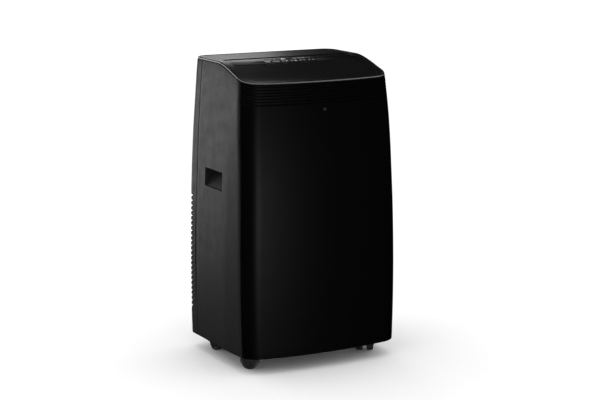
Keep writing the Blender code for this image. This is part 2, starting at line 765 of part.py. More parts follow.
def key(k, name):
    """A key that fills its hole in the strip, with a foot that reaches down to its switch."""
    xs = [x for x, _ in key_outline(k, 0)]
    part = prism(f"key_{name}", strip_slab(STRIP_WALL), min(xs) - 0.001, max(xs) + 0.001, "X", "keys")
    shape = prism(f"key_shape_{name}", key_outline(k, -0.0003), LIP_HEIGHT, HEIGHT + 0.01, "Z", "keys")
    boolean(part, shape, "INTERSECT")
    x, y = sum(xs) / 4, FRONT_Y + KEY_FROM_FRONT
    top = rim_height(y) - RECESS_DROP - STRIP_WALL / 2
    low = board_top() + KEY_TRAVEL + GAP
    half = KEY_FOOT / 2
    join(part, boxes(f"key_foot_{name}", [((x - half, y - half, low), (x + half, y + half, top))], "keys"))
    return part


def display_window():
    x = WINDOW_X
    half = WINDOW_WIDTH / 2
    slab = strip_slab(STRIP_WALL - 0.0006, 0.0003)
    part = prism("display_window", slab, x - half, x + half, "X", "window")
    shape = prism("window_shape", window_outline(-0.0003), LIP_HEIGHT, HEIGHT + 0.01, "Z", "window")
    return boolean(part, shape, "INTERSECT")


def board_top():
    """The height of the control board's upper face, under the lowest edge of the strip."""
    return rim_height(FRONT_Y + STRIP_FROM_FRONT) - BOARD_DROP


def control_board():
    front = FRONT_Y + STRIP_FROM_FRONT + 0.003
    rear = FRONT_Y + RECESS_FROM_FRONT + RECESS_DEPTH - LEDGE - 0.003
    half = RECESS_HALF * 0.62
    top = board_top()
    plate = [((-half, front, top - BOARD_WALL), (half, rear, top))]
    return boxes("control_board", plate, "circuit")


def outlet_flap():
    """The hinged lid of the air outlet: a creased blade with a round back edge and a pin at each end."""
    y0, z0 = flap_axis()
    front = FRONT_Y + RECESS_FROM_FRONT - 0.002
    crease = FRONT_Y + FLAP_CREASE_FROM_FRONT
    top = [(y, rim_height(y) - RECESS_DROP) for y in spread(front, crease, 4)]
    top += [(y0 + FLAP_ROLL * math.sin(a), z0 + FLAP_ROLL * math.cos(a))
            for a in spread(math.radians(-8), math.radians(180), 8)]
    (ya, za), (yb, zb) = top[3], (y0, z0 + FLAP_ROLL)
    neck = y0 - FLAP_ROLL - 0.0015
    under = [(neck, za + (zb - za) * (neck - ya) / (yb - ya) - FLAP_WALL)]
    under += [(y, rim_height(y) - RECESS_DROP - FLAP_WALL) for y in spread(crease, front, 4)]
    blade = prism("outlet_flap", top + under, -RECESS_HALF, RECESS_HALF, "X", "top_gloss")
    boolean(blade, recess_plug("flap_plug", GAP), "INTERSECT")
    clear = RECESS_HALF - LEDGE - GAP
    for side, name in ((-1, "left"), (1, "right")):
        ends = sorted((side * clear, side * (RECESS_HALF + 0.003)))
        low, high = (ends[0], y0 - 0.009, z0 - 0.010), (ends[1], y0 + 0.009, z0 + 0.010)
        cut(blade, boxes(f"flap_notch_{name}", [(low, high)], "top_gloss"))
        pin_ends = sorted((side * (clear - 0.004), side * (RECESS_HALF + COVER_WALL - 0.0008)))
        join(blade, cylinder(f"flap_pin_{name}", PIN_RADIUS, *pin_ends, (y0, z0), "X", "top_gloss", 12))
    return move_origin(blade, (0, y0, z0))


def move_origin(part, point):
    """Bakes a part and puts its origin at a point, with its shape where it was."""
    part = bake(part)
    part.data.transform(Matrix.Translation(-Vector(point)) @ part.matrix_world)
    part.matrix_world = Matrix.Translation(point)
    return part


def flap_motor():
    y, z = flap_axis()
    low = RECESS_HALF + COVER_WALL + 0.001
    return cylinder("flap_motor", 0.0095, low, low + 0.010, (y, z - 0.009), "X", "steel", 16)


# ------------------------------------------------------------------ outlet duct and vanes
def duct_front():
    return FRONT_Y + RECESS_FROM_FRONT + 0.0105


def duct_rear():
    return flap_axis()[0] - FLAP_ROLL - 0.0022


def duct_rim(y):
    return rim_height(y) - 0.0112


def outlet_duct():
    """The open box under the flap that holds the guide vanes, with a throat in its floor."""
    front, rear = duct_front(), duct_rear()
    top = [(y, duct_rim(y)) for y in spread(front, rear, 5)]
    shell = prism("outlet_duct", top + [(rear, DUCT_LOW), (front, DUCT_LOW)], -DUCT_HALF, DUCT_HALF, "X",
                  "casing")
    inner = DUCT_HALF - DUCT_WALL
    hollow = ((-inner, front + DUCT_WALL, DUCT_LOW + DUCT_WALL), (inner, rear - DUCT_WALL, HEIGHT))
    cut(shell, boxes("duct_hollow", [hollow], "casing"))
    half, edge = throat_half(), 0.006
    throat = ((-half, front + edge, DUCT_LOW - 0.01), (half, rear - edge, DUCT_LOW + 0.01))
    cut(shell, boxes("duct_throat", [throat], "casing"))
    for k in range(VANES):
        for wall, (low, high) in enumerate(((front - 0.01, front + 0.01), (rear - 0.01, rear + 0.01))):
            hole = cylinder(f"vane_hole_{k}_{wall}", PIN_RADIUS, low, high, (vane_x(k), VANE_AXIS_HEIGHT),
                            "Y", "casing", 8)
            cut(shell, hole)
    return shell


def throat_half():
    return COOL_FAN_RADIUS + 0.012


def vane_x(k):
    return (k - (VANES - 1) / 2) * 2 * (DUCT_HALF - DUCT_WALL) / VANES


def link_box():
    """(y, z) of the middle of the vanes' tie bar."""
    return (duct_front() + duct_rear()) / 2, VANE_AXIS_HEIGHT - VANE_ARM


def guide_vane(k):
    """A blade that turns about a pin at each end, with a notch in its foot for the tie bar."""
    front, rear = duct_front() + DUCT_WALL + 0.0012, duct_rear() - DUCT_WALL - 0.0012
    axis = VANE_AXIS_HEIGHT
    y, z = link_box()
    low, high = axis - VANE_HEIGHT / 2, axis + VANE_HEIGHT * 0.40
    side = LINK_WIDTH / 2 + 0.0008
    notch = z + LINK_DEPTH / 2 + 0.0030
    points = [(front, low), (y - side, low), (y - side, notch), (y + side, notch), (y + side, low),
              (rear, low), (rear, high), (front, high)]
    x = vane_x(k)
    vane = prism(f"guide_vane_{k + 1}", points, x - VANE_WALL / 2, x + VANE_WALL / 2, "X", "casing")
    pins = ((duct_front() + 0.0005, front + 0.006), (rear - 0.006, duct_rear() - 0.0005))
    for wall, (a, b) in enumerate(pins):
        pin = cylinder(f"vane_pin_{k}_{wall}", PIN_RADIUS - GAP, a, b, (x, axis), "Y", "casing", 8)
        join(vane, pin)
    return move_origin(vane, (x, y, axis))


def vane_link():
    """The bar that ties the vanes together, notched where each one sits."""
    y, z = link_box()
    reach = vane_x(VANES - 1) + 0.008
    low = (-reach, y - LINK_WIDTH / 2, z - LINK_DEPTH / 2)
    high = (reach, y + LINK_WIDTH / 2, z + LINK_DEPTH / 2)
    bar = boxes("vane_link", [(low, high)], "casing")
    notches = []
    for k in range(VANES):
        half = VANE_WALL / 2 + 0.0018
        x = vane_x(k)
        notches.append(((x - half, low[1] - 0.001, z + 0.0004), (x + half, high[1] + 0.001, z + 0.01)))
    cut(bar, boxes("link_notches", notches, "casing"))
    return bar


# ------------------------------------------------------------------ rear fittings
def intake_grille():
    """The upper intake's grille: a plate of slots that pulls straight back with the filter."""
    rear = section(INTAKE_HIGH).rear - INTAKE_SINK
    xs = grid_lines(-INTAKE_HALF + GAP, INTAKE_HALF - GAP, INTAKE_COLUMNS, 0.006)
    zs = grid_lines(INTAKE_LOW + GAP, INTAKE_HIGH - GAP, INTAKE_ROWS, 0.005)
    grid = [[Vector((x, rear, z)) for z in zs] for x in reversed(xs)]
    return skin("intake_grille", grid, lambda i, j: i % 2 == 0 or j % 2 == 0, INTAKE_WALL, "casing")


def grid_lines(low, high, openings, bar):
    """The lines of a row of bars with equal openings between them."""
    pitch = (high - low - bar) / openings
    return [low + k * pitch + d for k in range(openings + 1) for d in (0, bar)]


def filter_y():
    """The back of the filter frame, just in front of the intake grille."""
    return section(INTAKE_HIGH).rear - INTAKE_SINK - INTAKE_WALL - GAP


def filter_frame():
    rear = filter_y()
    xs = grid_lines(-INTAKE_HALF + 0.004, INTAKE_HALF - 0.004, 3, 0.005)
    zs = grid_lines(INTAKE_LOW + 0.004, INTAKE_HIGH - 0.004, 2, 0.005)
    grid = [[Vector((x, rear, z)) for z in zs] for x in reversed(xs)]
    return skin("filter_frame", grid, lambda i, j: i % 2 == 0 or j % 2 == 0, FILTER_WALL, "grey_plastic")


def filter_mesh():
    rear = filter_y() - FILTER_WALL - GAP
    low = (-INTAKE_HALF + 0.006, rear - 0.0008, INTAKE_LOW + 0.006)
    return boxes("filter_mesh", [(low, (INTAKE_HALF - 0.006, rear, INTAKE_HIGH - 0.006))], "filter")


def hose_collar():
    """The ring that the exhaust hose clips on."""
    outer, inner = PORT_RADIUS + PORT_WALL, PORT_RADIUS
    front, rear = REAR_Y - 0.026, REAR_Y + REAR_FITTINGS
    lip = 0.0022
    profile = [(outer, rear), (outer, front), (inner, front), (inner, rear - 0.006),
               (inner - lip, rear - 0.004), (inner - lip, rear)]
    profile = [(r, -(h - REAR_Y)) for r, h in profile]
    return turned("hose_collar", profile[::-1], (0, REAR_Y, PORT_HEIGHT), "Y", "casing", 32)


def drain_cap(name, place_at):
    """A rubber plug: a shank in the rear wall and a flange outside it."""
    x, z = place_at
    shank = 0.010
    profile = [(0, shank), (DRAIN_RADIUS - 0.0006, shank), (DRAIN_RADIUS, 0.0002),
               (DRAIN_CAP_RADIUS, 0.0002), (DRAIN_CAP_RADIUS - 0.001, -0.0024), (0, -0.0024)]
    y = section(round(z, 6)).rear + 0.0004
    return turned(name, profile, (x, y, z), "Y", "rubber", 16)


def cord_gland():
    """The bush in the back wall that the supply cord passes through."""
    x, z = GLAND
    y = section(round(z, 6)).rear + 0.0004
    bore = 0.0045
    profile = [(GLAND_RADIUS, 0.0002), (GLAND_RADIUS + 0.002, 0.0002), (GLAND_RADIUS, -0.0024),
               (bore, -0.0024), (bore, 0.008), (GLAND_RADIUS, 0.008)]
    return turned("cord_gland", profile, (x, y, z), "Y", "rubber", 16)


# ------------------------------------------------------------------ base and casters
def caster_places():
    for name, turn in CASTER_TURNS.items():
        y, x = name.split("_")
        x = CASTER_X if x == "right" else -CASTER_X
        yield name, (x, CASTER_REAR_Y if y == "rear" else CASTER_FRONT_Y), math.radians(turn)


def base_pan():
    """The tray that carries everything, with a boss and a shallow seat for each caster."""
    inset = WALL + 0.0012
    metal = "black_steel"
    pan = prism("base_pan", outline(SKIRT, inset), BASE_UNDERSIDE, FLOOR_TOP + BASE_RIM, "Z", metal)
    cut(pan, prism("pan_hollow", outline(SKIRT, inset + WALL), FLOOR_TOP, FLOOR_TOP + 0.1, "Z", metal))
    for name, place_at, _ in caster_places():
        ends = BASE_UNDERSIDE + 0.001, FLOOR_TOP + BASE_RIM * 0.8
        join(pan, cylinder(f"boss_{name}", STEM_RADIUS + 0.005, *ends, place_at, "Z", metal, 12))
    for name, place_at, _ in caster_places():
        ends = BASE_UNDERSIDE - 0.01, BASE_UNDERSIDE + CASTER_SEAT
        cut(pan, cylinder(f"seat_{name}", CASTER_COLLAR + 0.0012, *ends, place_at, "Z", metal, 20))
    for name, place_at, _ in caster_places():
        hole = cylinder(f"stem_hole_{name}", STEM_RADIUS + GAP, BASE_UNDERSIDE - 0.01, FLOOR_TOP + 0.1,
                        place_at, "Z", metal, 12)
        cut(pan, hole)
    x, z = LOW_DRAIN
    cut(pan, cylinder("pan_drain", DRAIN_RADIUS + GAP, REAR_Y - 0.03, REAR_Y, (x, z), "Y", metal, 12))
    return pan


def caster_hood_mesh():
    """A caster's hood, with its stem on the origin's Z axis and the wheels' axle behind it, along X."""
    half = WHEEL_SPACING / 2 + WHEEL_WIDTH / 2
    clear = 0.0010
    outer = WHEEL_RADIUS + clear + 0.0018
    arc = [(CASTER_TRAIL + outer * math.cos(a), WHEEL_RADIUS + outer * math.sin(a))
           for a in spread(math.radians(-6), math.radians(186), 11)]
    hood = prism("caster_hood", arc, -half - 0.002, half + 0.002, "X", "wheel")
    bays = []
    for side in (-1, 1):
        ends = sorted((side * (WHEEL_SPACING - WHEEL_WIDTH) / 2 - side * 0.0008, side * (half + 0.01)))
        axle = CASTER_TRAIL, WHEEL_RADIUS
        bays.append(cylinder("bay", WHEEL_RADIUS + clear, *ends, axle, "X", "wheel", 16))
    collar_top = BASE_UNDERSIDE - GAP
    stem_top = FLOOR_TOP + BASE_RIM * 0.7
    join(hood, cylinder("collar", CASTER_COLLAR, WHEEL_RADIUS * 1.8, collar_top, (0, 0), "Z", "wheel", 12))
    join(hood, cylinder("stem", STEM_RADIUS, collar_top - 0.002, stem_top, (0, 0), "Z", "wheel", 12))
    for bay in bays:
        cut(hood, bay)
    cut(hood, cylinder("bore", 0.0030, -0.02, 0.02, (CASTER_TRAIL, WHEEL_RADIUS), "X", "wheel", 10))
    return bake_out(hood)


def caster_wheels_mesh():
    """Two wheels on one axle, about the origin and along Z."""
    outer = WHEEL_SPACING / 2 + WHEEL_WIDTH / 2
    inner = WHEEL_SPACING / 2 - WHEEL_WIDTH / 2
    edge = 0.0016
    axle = 0.0025
    side = [(WHEEL_RADIUS - edge, outer), (WHEEL_RADIUS, outer - edge), (WHEEL_RADIUS, inner + edge),
            (WHEEL_RADIUS - edge, inner), (axle, inner)]
    profile = [(0, outer)] + side + [(r, -h) for r, h in reversed(side)] + [(0, -outer)]
    return bake_out(turned("caster_wheels", profile, (0, 0, 0), "Z", "wheel", 16))


def bake_out(part):
    """The part's final mesh in its own space; the part itself is removed."""
    part = bake(part)
    mesh = part.data
    mesh.transform(part.matrix_world)
    bpy.data.objects.remove(part)
    return mesh


def casters():
    hood, wheels = caster_hood_mesh(), caster_wheels_mesh()
    for name, (x, y), turn in caster_places():
        swivel = Matrix.Rotation(turn, 4, "Z")
        place(f"caster_{name}_hood", hood, "wheel", (x, y, 0), swivel)
        axle = Vector((x, y, WHEEL_RADIUS)) + swivel @ Vector((0, CASTER_TRAIL, 0))
        place(f"caster_{name}_wheels", wheels, "wheel", axle, swivel @ AXIS_TURN["X"])


# ------------------------------------------------------------------ the refrigeration and air parts
def mid_deck():
    """The partition between the hot and the cool compartments, with holes for the duct and the pipes."""
    z = DECK_HEIGHT
    deck = prism("mid_deck", outline(z, WALL + 0.0012), z, z + DECK_WALL, "Z", "foam")
    half, front, rear = exhaust_box()
    grow = 0.0005
    passage = ((-half - grow, front - grow, z - 0.01), (half + grow, rear + grow - 0.04, z + 0.01))
    hot = HOT_COIL[0]
    pipe_slot = ((HALF - 0.062, hot - 0.050, z - 0.01), (HALF - 0.026, hot + 0.020, z + 0.01))
    cut(deck, boxes("deck_holes", [passage, pipe_slot], "foam"))
    return deck


def coil(name, low, high, plate):
    """A finned coil with an end plate at each side."""
    (x0, y0, z0), (x1, y1, z1) = low, high
    lip = 0.004
    left, right = x0 + plate, x1 - plate
    points = [(x0, z0 - lip), (left, z0 - lip), (left, z0), (right, z0), (right, z0 - lip), (x1, z0 - lip),
              (x1, z1 + lip), (right, z1 + lip), (right, z1), (left, z1), (left, z1 + lip), (x0, z1 + lip)]
    return prism(name, points, y0, y1, "Y", "fins")


def coils():
    half = HALF - COIL_MARGIN
    low, high = (-half, HOT_COIL[0], HOT_COIL_LOW), (half, HOT_COIL[1], DECK_HEIGHT - 0.012)
    coil("condenser_coil", low, high, COIL_PLATE)
    half -= 0.006
    low, high = (-half, COOL_COIL[0], INTAKE_LOW + 0.008), (half, COOL_COIL[1], INTAKE_HIGH - 0.002)
    coil("evaporator_coil", low, high, COIL_PLATE)


def drain_tray():
    """The trough under the evaporator that catches its water."""
    y0, y1, z = COOL_COIL[0] - 0.007, COOL_COIL[1] + 0.008, INTAKE_LOW - 0.0114
    half = HALF - COIL_MARGIN
    tray = boxes("drain_tray", [((-half, y0, z), (half, y1, z + 0.014))], "foam")
    wall = 0.003
    hollow = ((wall - half, y0 + wall, z + wall), (half - wall, y1 - wall, z + 0.05))
    cut(tray, boxes("tray_hollow", [hollow], "foam"))
    return tray


def exhaust_box():
    """(half width, front, rear) of the exhaust elbow."""
    return PORT_RADIUS + 0.0075, -0.020, REAR_Y - 0.027


def exhaust_elbow():
    """The duct that turns the hot air from the lower fan to the hose port."""
    half, front, rear = exhaust_box()
    low, high = DECK_HEIGHT + DECK_WALL + GAP, PORT_HEIGHT + PORT_RADIUS + 0.0075
    wall = 0.0025
    elbow = boxes("exhaust_elbow", [((-half, front, low), (half, rear, high))], "foam")
    hollow = ((-half + wall, front + wall, low - 0.01), (half - wall, rear - wall, high - wall))
    cut(elbow, boxes("elbow_hollow", [hollow], "foam"))
    ends = rear - 0.01, rear + 0.01
    cut(elbow, cylinder("elbow_port", PORT_RADIUS - 0.003, *ends, (0, PORT_HEIGHT), "Y", "foam", 28))
    return elbow


def scroll_outline(centre, start, growth, mouth, wall=0.0):
    """A spiral round a fan that opens into a straight mouth at its top, moved inwards by a wall."""
    x0, z0 = centre
    first, sweep = math.radians(60), math.radians(300)
    points = []
    for a in spread(0, sweep, 15):
        radius = start + growth * a / sweep - wall
        points.append((x0 + radius * math.cos(a + first), z0 + radius * math.sin(a + first)))
    top = mouth + (0.02 if wall else 0)
    return points + [(points[-1][0], top), (points[0][0], top)]


def scroll(name, centre, fan, low, high, mouth):
    """A fan's scroll housing, open at its mouth and at the round inlet in its rear face."""
    wall = 0.0025
    start, growth = fan + 0.008, fan * 0.20
    body = prism(name, scroll_outline(centre, start, growth, mouth), low, high, "Y", "foam")
    inside = scroll_outline(centre, start, growth, mouth, wall)
    cut(body, prism(name + "_hollow", inside, low + wall, high - wall, "Y", "foam"))
    cut(body, cylinder(name + "_inlet", fan * 0.78, high - 0.01, high + 0.01, centre, "Y", "foam", 20))
    cut(body, cylinder(name + "_shaft_hole", 0.006, low - 0.01, low + 0.01, centre, "Y", "foam", 10))
    return body


def fan_wheel(name, centre, radius, low, high):
    """A drum fan: a hub and back disc, a front ring and a row of blades between them."""
    disc = 0.003
    hub = 0.010
    x, z = centre
    profile = [(0, low - 0.012), (0.0045, low - 0.012), (0.0045, low), (radius, low), (radius, low + disc),
               (hub, low + disc), (hub, low + 0.020), (0, low + 0.020)]
    middle = (low + high) / 2
    wheel = turned(name, [(r, -(h - middle)) for r, h in profile], (x, middle, z), "Y", "white_plastic", 20)
    ring_in = radius - 0.010
    ring = [(radius, high), (ring_in, high), (ring_in, high - disc), (radius, high - disc)]
    front_ring = turned(name + "_ring", [(r, -(h - middle)) for r, h in ring], (x, middle, z), "Y",
                        "white_plastic", 20)

    def fill(work):
        for k in range(FAN_BLADES):
            turn = Matrix.Rotation(2 * math.pi * k / FAN_BLADES, 4, "Y")
            lean = Matrix.Rotation(math.radians(35), 4, "Y")
            at = turn @ Matrix.Translation((radius - 0.0065, 0, 0)) @ lean
            size = Matrix.Diagonal((0.007, high - low - disc, 0.0016, 1))
            bmesh.ops.create_cube(work, size=1, matrix=at @ size)
    blades = place(name + "_blades", mesh_from(name + "_blades", fill), "white_plastic", (x, middle, z))
    join(wheel, front_ring)
    join(wheel, blades)
    return wheel


def cool_fan_centre():
    return 0.0, DUCT_LOW - 0.086


def hot_fan_centre():
    return -0.045, (FLOOR_TOP + DECK_HEIGHT) / 2 + 0.0115


def air_movers():
    """Both fans with their scrolls and motors."""
    cool, hot = cool_fan_centre(), hot_fan_centre()
    y = duct_front() - 0.004
    scroll("evaporator_scroll", cool, COOL_FAN_RADIUS, y, y + 0.086, DUCT_LOW - GAP)
    fan_wheel("evaporator_fan", cool, COOL_FAN_RADIUS, y + 0.008, y + 0.078)
    motor("evaporator_motor", cool, 0.034, y - 0.034, y - GAP)
    y = HOT_COIL[0] - 0.1215
    scroll("condenser_scroll", hot, HOT_FAN_RADIUS, y, y + 0.094, DECK_HEIGHT - GAP)
    fan_wheel("condenser_fan", hot, HOT_FAN_RADIUS, y + 0.008, y + 0.086)
    motor("condenser_motor", hot, 0.045, y - 0.050, y - GAP)


def motor(name, centre, radius, low, high):
    """A fan motor: a can with a smaller end cap, bored for the fan's shaft."""
    x, z = centre
    bore = 0.0052
    profile = [(bore, high), (radius * 0.62, high), (radius, high - 0.006), (radius, low + 0.006),
               (radius * 0.62, low), (bore, low)]
    middle = (low + high) / 2
    return turned(name, [(r, -(h - middle)) for r, h in profile][::-1], (x, middle, z), "Y", "steel", 20)


def compressor():
    """The rotary compressor: a welded can on a three-lobed foot plate."""
    x, y = COMPRESSOR_PLACE
    r, low = COMPRESSOR_RADIUS, FLOOR_TOP + COMPRESSOR_FEET
    high = low + COMPRESSOR_HEIGHT
    profile = [(0, high), (r * 0.45, high - 0.002), (r * 0.85, high - 0.014), (r, high - 0.032),
               (r, low + 0.016), (r * 0.86, low + 0.003), (0, low)]
    can = turned("compressor", profile, (x, y, 0), "Z", "black_steel", 18)
    plate, mounts = [], []
    for k in range(3):
        lobe = math.radians(90 + 120 * k)
        for turn in (lobe - 0.22, lobe + 0.22):
            plate.append((x + (r + 0.010) * math.cos(turn), y + (r + 0.010) * math.sin(turn)))
        at = (x + r * math.cos(lobe), y + r * math.sin(lobe))
        mounts.append(cylinder(f"mount_{k}", 0.0075, FLOOR_TOP + GAP, low + 0.006, at, "Z", "rubber", 12))
    join(can, prism("foot_plate", plate, low + 0.001, low + 0.004, "Z", "black_steel"))
    for mount in mounts:
        join(can, mount)
    return can


def accumulator_place():
    return [a + b for a, b in zip(COMPRESSOR_PLACE, ACCUMULATOR_OFFSET)]


def accumulator():
    x, y = accumulator_place()
    low, high, r = 0.120, ACCUMULATOR_TOP, 0.019
    profile = [(0, high), (r * 0.5, high - 0.002), (r, high - 0.014), (r, low + 0.014),
               (r * 0.5, low + 0.002), (0, low)]
    return turned("accumulator", profile, (x, y, 0), "Z", "black_steel", 16)


def led(point, direction):
    """Three points in line, so that a pipe meets its end square on."""
    return [Vector(point) + Vector(direction) * step for step in (0, 0.005, 0.010)]


def pipes():
    """The refrigerant's copper pipes, each ending just short of the piece that it serves."""
    x, y = COMPRESSOR_PLACE
    top = FLOOR_TOP + COMPRESSOR_FEET + COMPRESSOR_HEIGHT + GAP
    hot_face, cool_face = HOT_COIL[0] - GAP, COOL_COIL[0] - GAP
    up, forward = (0, 0, 1), (0, -1, 0)
    route = led((x, y, top), up) + [(x - 0.004, y + 0.030, top + 0.040)]
    end = led((x - 0.008, hot_face, top + 0.045), forward)
    tube("discharge_pipe", route + end[::-1], PIPE_RADIUS, "copper")
    ax, ay = accumulator_place()
    side = HALF - 0.039
    route = led((ax, ay, ACCUMULATOR_TOP + GAP), up)
    route += [(ax + 0.010, ay + 0.060, DECK_HEIGHT - 0.054),
              (side, hot_face - 0.024, DECK_HEIGHT - 0.014),
              (side, cool_face - 0.016, DECK_HEIGHT + 0.056),
              (side - 0.002, cool_face - 0.024, INTAKE_LOW + 0.032)]
    end = led((side - 0.018, cool_face, INTAKE_HIGH - 0.033), forward)
    tube("suction_pipe", route + end[::-1], PIPE_RADIUS, "copper")
    route = led((side - 0.014, hot_face, DECK_HEIGHT - 0.104), forward)
    route += [(side - 0.015, hot_face - 0.027, DECK_HEIGHT - 0.054),
              (side - 0.016, hot_face - 0.031, DECK_HEIGHT + 0.006),
              (side - 0.024, cool_face - 0.018, DECK_HEIGHT + 0.076),
              (side - 0.031, cool_face - 0.026, INTAKE_LOW + 0.012)]
    end = led((side - 0.032, cool_face, INTAKE_LOW + 0.052), forward)
    tube("liquid_pipe", route + end[::-1], PIPE_RADIUS * 0.6, "copper")


def splash_drive():
    """The wheel that throws condensate over the hot coil, and its motor."""
    centre, y = (0.040, 0.092), REAR_Y - 0.038
    profile = [(0, y - 0.018), (0.003, y - 0.018), (0.003, y - 0.002), (0.016, y - 0.002),
               (0.018, y + 0.002), (0, y + 0.002)]
    at = (centre[0], y, centre[1])
    turned("splash_wheel", [(r, -(h - y)) for r, h in profile], at, "Y", "white_plastic", 16)
    low, high = y - 0.042, y - 0.010
    bore = 0.0036
    profile = [(bore, high), (0.014, high), (0.014, low), (bore, low)]
    turned("splash_motor", [(r, -(h - y)) for r, h in profile][::-1], at, "Y", "steel", 16)


def electrics():
    low = (0.031 - HALF, FRONT_Y + 0.0425, DECK_HEIGHT - 0.124)
    high = (0.093 - HALF, FRONT_Y + 0.1045, DECK_HEIGHT - 0.022)
    boxes("electrical_box", [(low, high)], "grey_plastic")


def build():
    front_panel()
    side_panel("left_side_panel", -1)
    side_panel("right_side_panel", 1)
    rear_housing()
    condenser_grille()
    top_cover()
    control_fascia()
    for k, name in enumerate(KEY_NAMES):
        key(k, name)
    display_window()
    control_board()
    outlet_flap()
    flap_motor()
    outlet_duct()
    for k in range(VANES):
        guide_vane(k)
    vane_link()
    intake_grille()
    filter_frame()
    filter_mesh()
    hose_collar()
    drain_cap("drain_cap_lower", LOW_DRAIN)
    drain_cap("drain_cap_upper", HIGH_DRAIN)
    cord_gland()
    base_pan()
    casters()
    mid_deck()
    coils()
    drain_tray()
    exhaust_elbow()
    air_movers()
    compressor()
    accumulator()
    pipes()
    splash_drive()
    electrics()


build()
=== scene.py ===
"""Builds the finished look of a portable air conditioner round its fixed frame.

Metres, +Z up, -Y the front. Every piece is made where it belongs, with its object at the origin.
"""

import json
import math
from functools import lru_cache
from types import SimpleNamespace

import bmesh
import bpy
from bpy.props import FloatProperty, FloatVectorProperty, IntProperty, PointerProperty
from mathutils import Matrix, Vector


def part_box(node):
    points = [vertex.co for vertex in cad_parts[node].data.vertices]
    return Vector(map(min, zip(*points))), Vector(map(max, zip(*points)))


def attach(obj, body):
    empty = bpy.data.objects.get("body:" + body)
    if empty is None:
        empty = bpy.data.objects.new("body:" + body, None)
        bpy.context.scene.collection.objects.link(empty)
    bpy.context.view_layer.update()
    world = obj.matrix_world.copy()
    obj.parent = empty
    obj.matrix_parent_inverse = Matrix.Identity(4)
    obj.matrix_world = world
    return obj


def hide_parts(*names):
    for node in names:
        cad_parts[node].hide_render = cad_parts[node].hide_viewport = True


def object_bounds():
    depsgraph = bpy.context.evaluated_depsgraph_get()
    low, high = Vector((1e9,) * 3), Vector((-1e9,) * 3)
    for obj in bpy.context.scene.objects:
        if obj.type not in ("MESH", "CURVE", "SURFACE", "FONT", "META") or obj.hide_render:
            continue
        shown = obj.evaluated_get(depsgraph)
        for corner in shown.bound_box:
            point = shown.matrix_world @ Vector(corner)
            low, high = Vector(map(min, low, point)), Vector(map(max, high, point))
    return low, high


bl_info = {
    "name": "Portable Air Conditioner",
    "version": (1, 0, 0),
    "blender": (4, 5, 0),
    "location": "3D View > Sidebar > Cooler",
    "description": "Builds a tapered black portable air conditioner piece by piece",
    "category": "Object",
}

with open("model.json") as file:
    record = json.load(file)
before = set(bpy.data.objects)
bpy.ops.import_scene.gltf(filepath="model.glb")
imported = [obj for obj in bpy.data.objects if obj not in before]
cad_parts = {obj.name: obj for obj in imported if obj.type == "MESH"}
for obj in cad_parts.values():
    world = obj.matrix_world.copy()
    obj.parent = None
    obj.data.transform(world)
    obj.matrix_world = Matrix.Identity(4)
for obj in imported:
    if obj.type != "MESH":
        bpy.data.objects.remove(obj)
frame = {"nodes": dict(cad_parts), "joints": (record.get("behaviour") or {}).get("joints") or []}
CAD_LOW, CAD_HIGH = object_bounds()

# ------------------------------------------------------------------ the cabinet's form
HEIGHT = CAD_HIGH.z
WIDTH = 0.4214  # a little under the frame's, since finer walls bulge further than its facets
FRONT_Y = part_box("front_panel")[0].y
REAR_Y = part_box("rear_housing")[1].y
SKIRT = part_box("front_panel")[0].z
WALL = 0.0025
SEAM = 0.0016  # between the outer panels
FRONT_RADIUS = 0.93
CORNER_RADIUS = 0.047
REAR_RADIUS = 0.035
SEAM_TURN = 0.82  # how far round the front corner its seam lies
FLARE = math.radians(3.2)
CREASE_FROM_FRONT = 0.134
CREASE_SWEEP = 0.020
REAR_PANEL_WRAP = 0.061
TAPER_START = 0.08
TAPER_POWER = 2.6
SIDE_TAPER = 0.0222
FRONT_TAPER = 0.032
REAR_TAPER = 0.006
TUCK = 0.004
TUCK_TOP = 0.25
LIP_DROP = 0.037
CURVE_FRONT = 0.024  # from the front face to the start of the rim's curve
CURVE_LENGTH = 0.178
COVER_EDGE = 0.0040
PANEL_DROP = 0.0056
COVER_INSET = 0.0012
COVER_WALL = 0.0025
COVER_SURFACE = 0.001  # the cover lies this far under its rim
RECESS_HALF = 0.166
RECESS_FROM_FRONT = 0.052
RECESS_DEPTH = 0.170
RECESS_RADIUS = 0.026
RECESS_SINK = 0.002
RECESS_DROP = COVER_SURFACE + RECESS_SINK
LEDGE = 0.004
STRIP_FROM_FRONT = 0.157
STRIP_WALL = 0.0035
FLAP_WALL = 0.003
FLAP_ROLL = 0.0038
FLAP_CREASE_FROM_FRONT = 0.111
FIRST_GROOVE = 0.0096
POCKET_FROM_FRONT = 0.1395
POCKET_LENGTH = 0.0935
POCKET_HIGH = 0.461
POCKET_LOW = 0.4165
POCKET_DEPTH = 0.025
GAP = 0.0004
INTAKE_LOW, INTAKE_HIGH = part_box("intake_grille")[0].z - GAP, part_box("intake_grille")[1].z + GAP
INTAKE_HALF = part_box("intake_grille")[1].x + GAP
LOUVRE_POST = 0.004
LOUVRE_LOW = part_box("condenser_grille")[0].z + LOUVRE_POST
LOUVRE_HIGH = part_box("condenser_grille")[1].z - LOUVRE_POST
LOUVRE_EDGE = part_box("condenser_grille")[0].y
PORT_RADIUS = 0.0625
PORT_WALL = 0.004
PORT_HEIGHT = (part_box("hose_collar")[0].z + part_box("hose_collar")[1].z) / 2
KEY_NAMES = ("power", "mode", "fan", "timer", "down", "up")
KEY_PITCH = 0.0236
KEY_LENGTH = 0.014
KEY_CENTRE_X = -0.007
KEY_Y = FRONT_Y + 0.1715
KEY_SLANT = 0.004  # how far a key's ends lean over its length
WINDOW_X, WINDOW_Y = -0.008, FRONT_Y + 0.1945
WINDOW_WIDTH, WINDOW_LENGTH = 0.031, 0.012
ROUND = 0.0010  # how far the panels' edges are eased
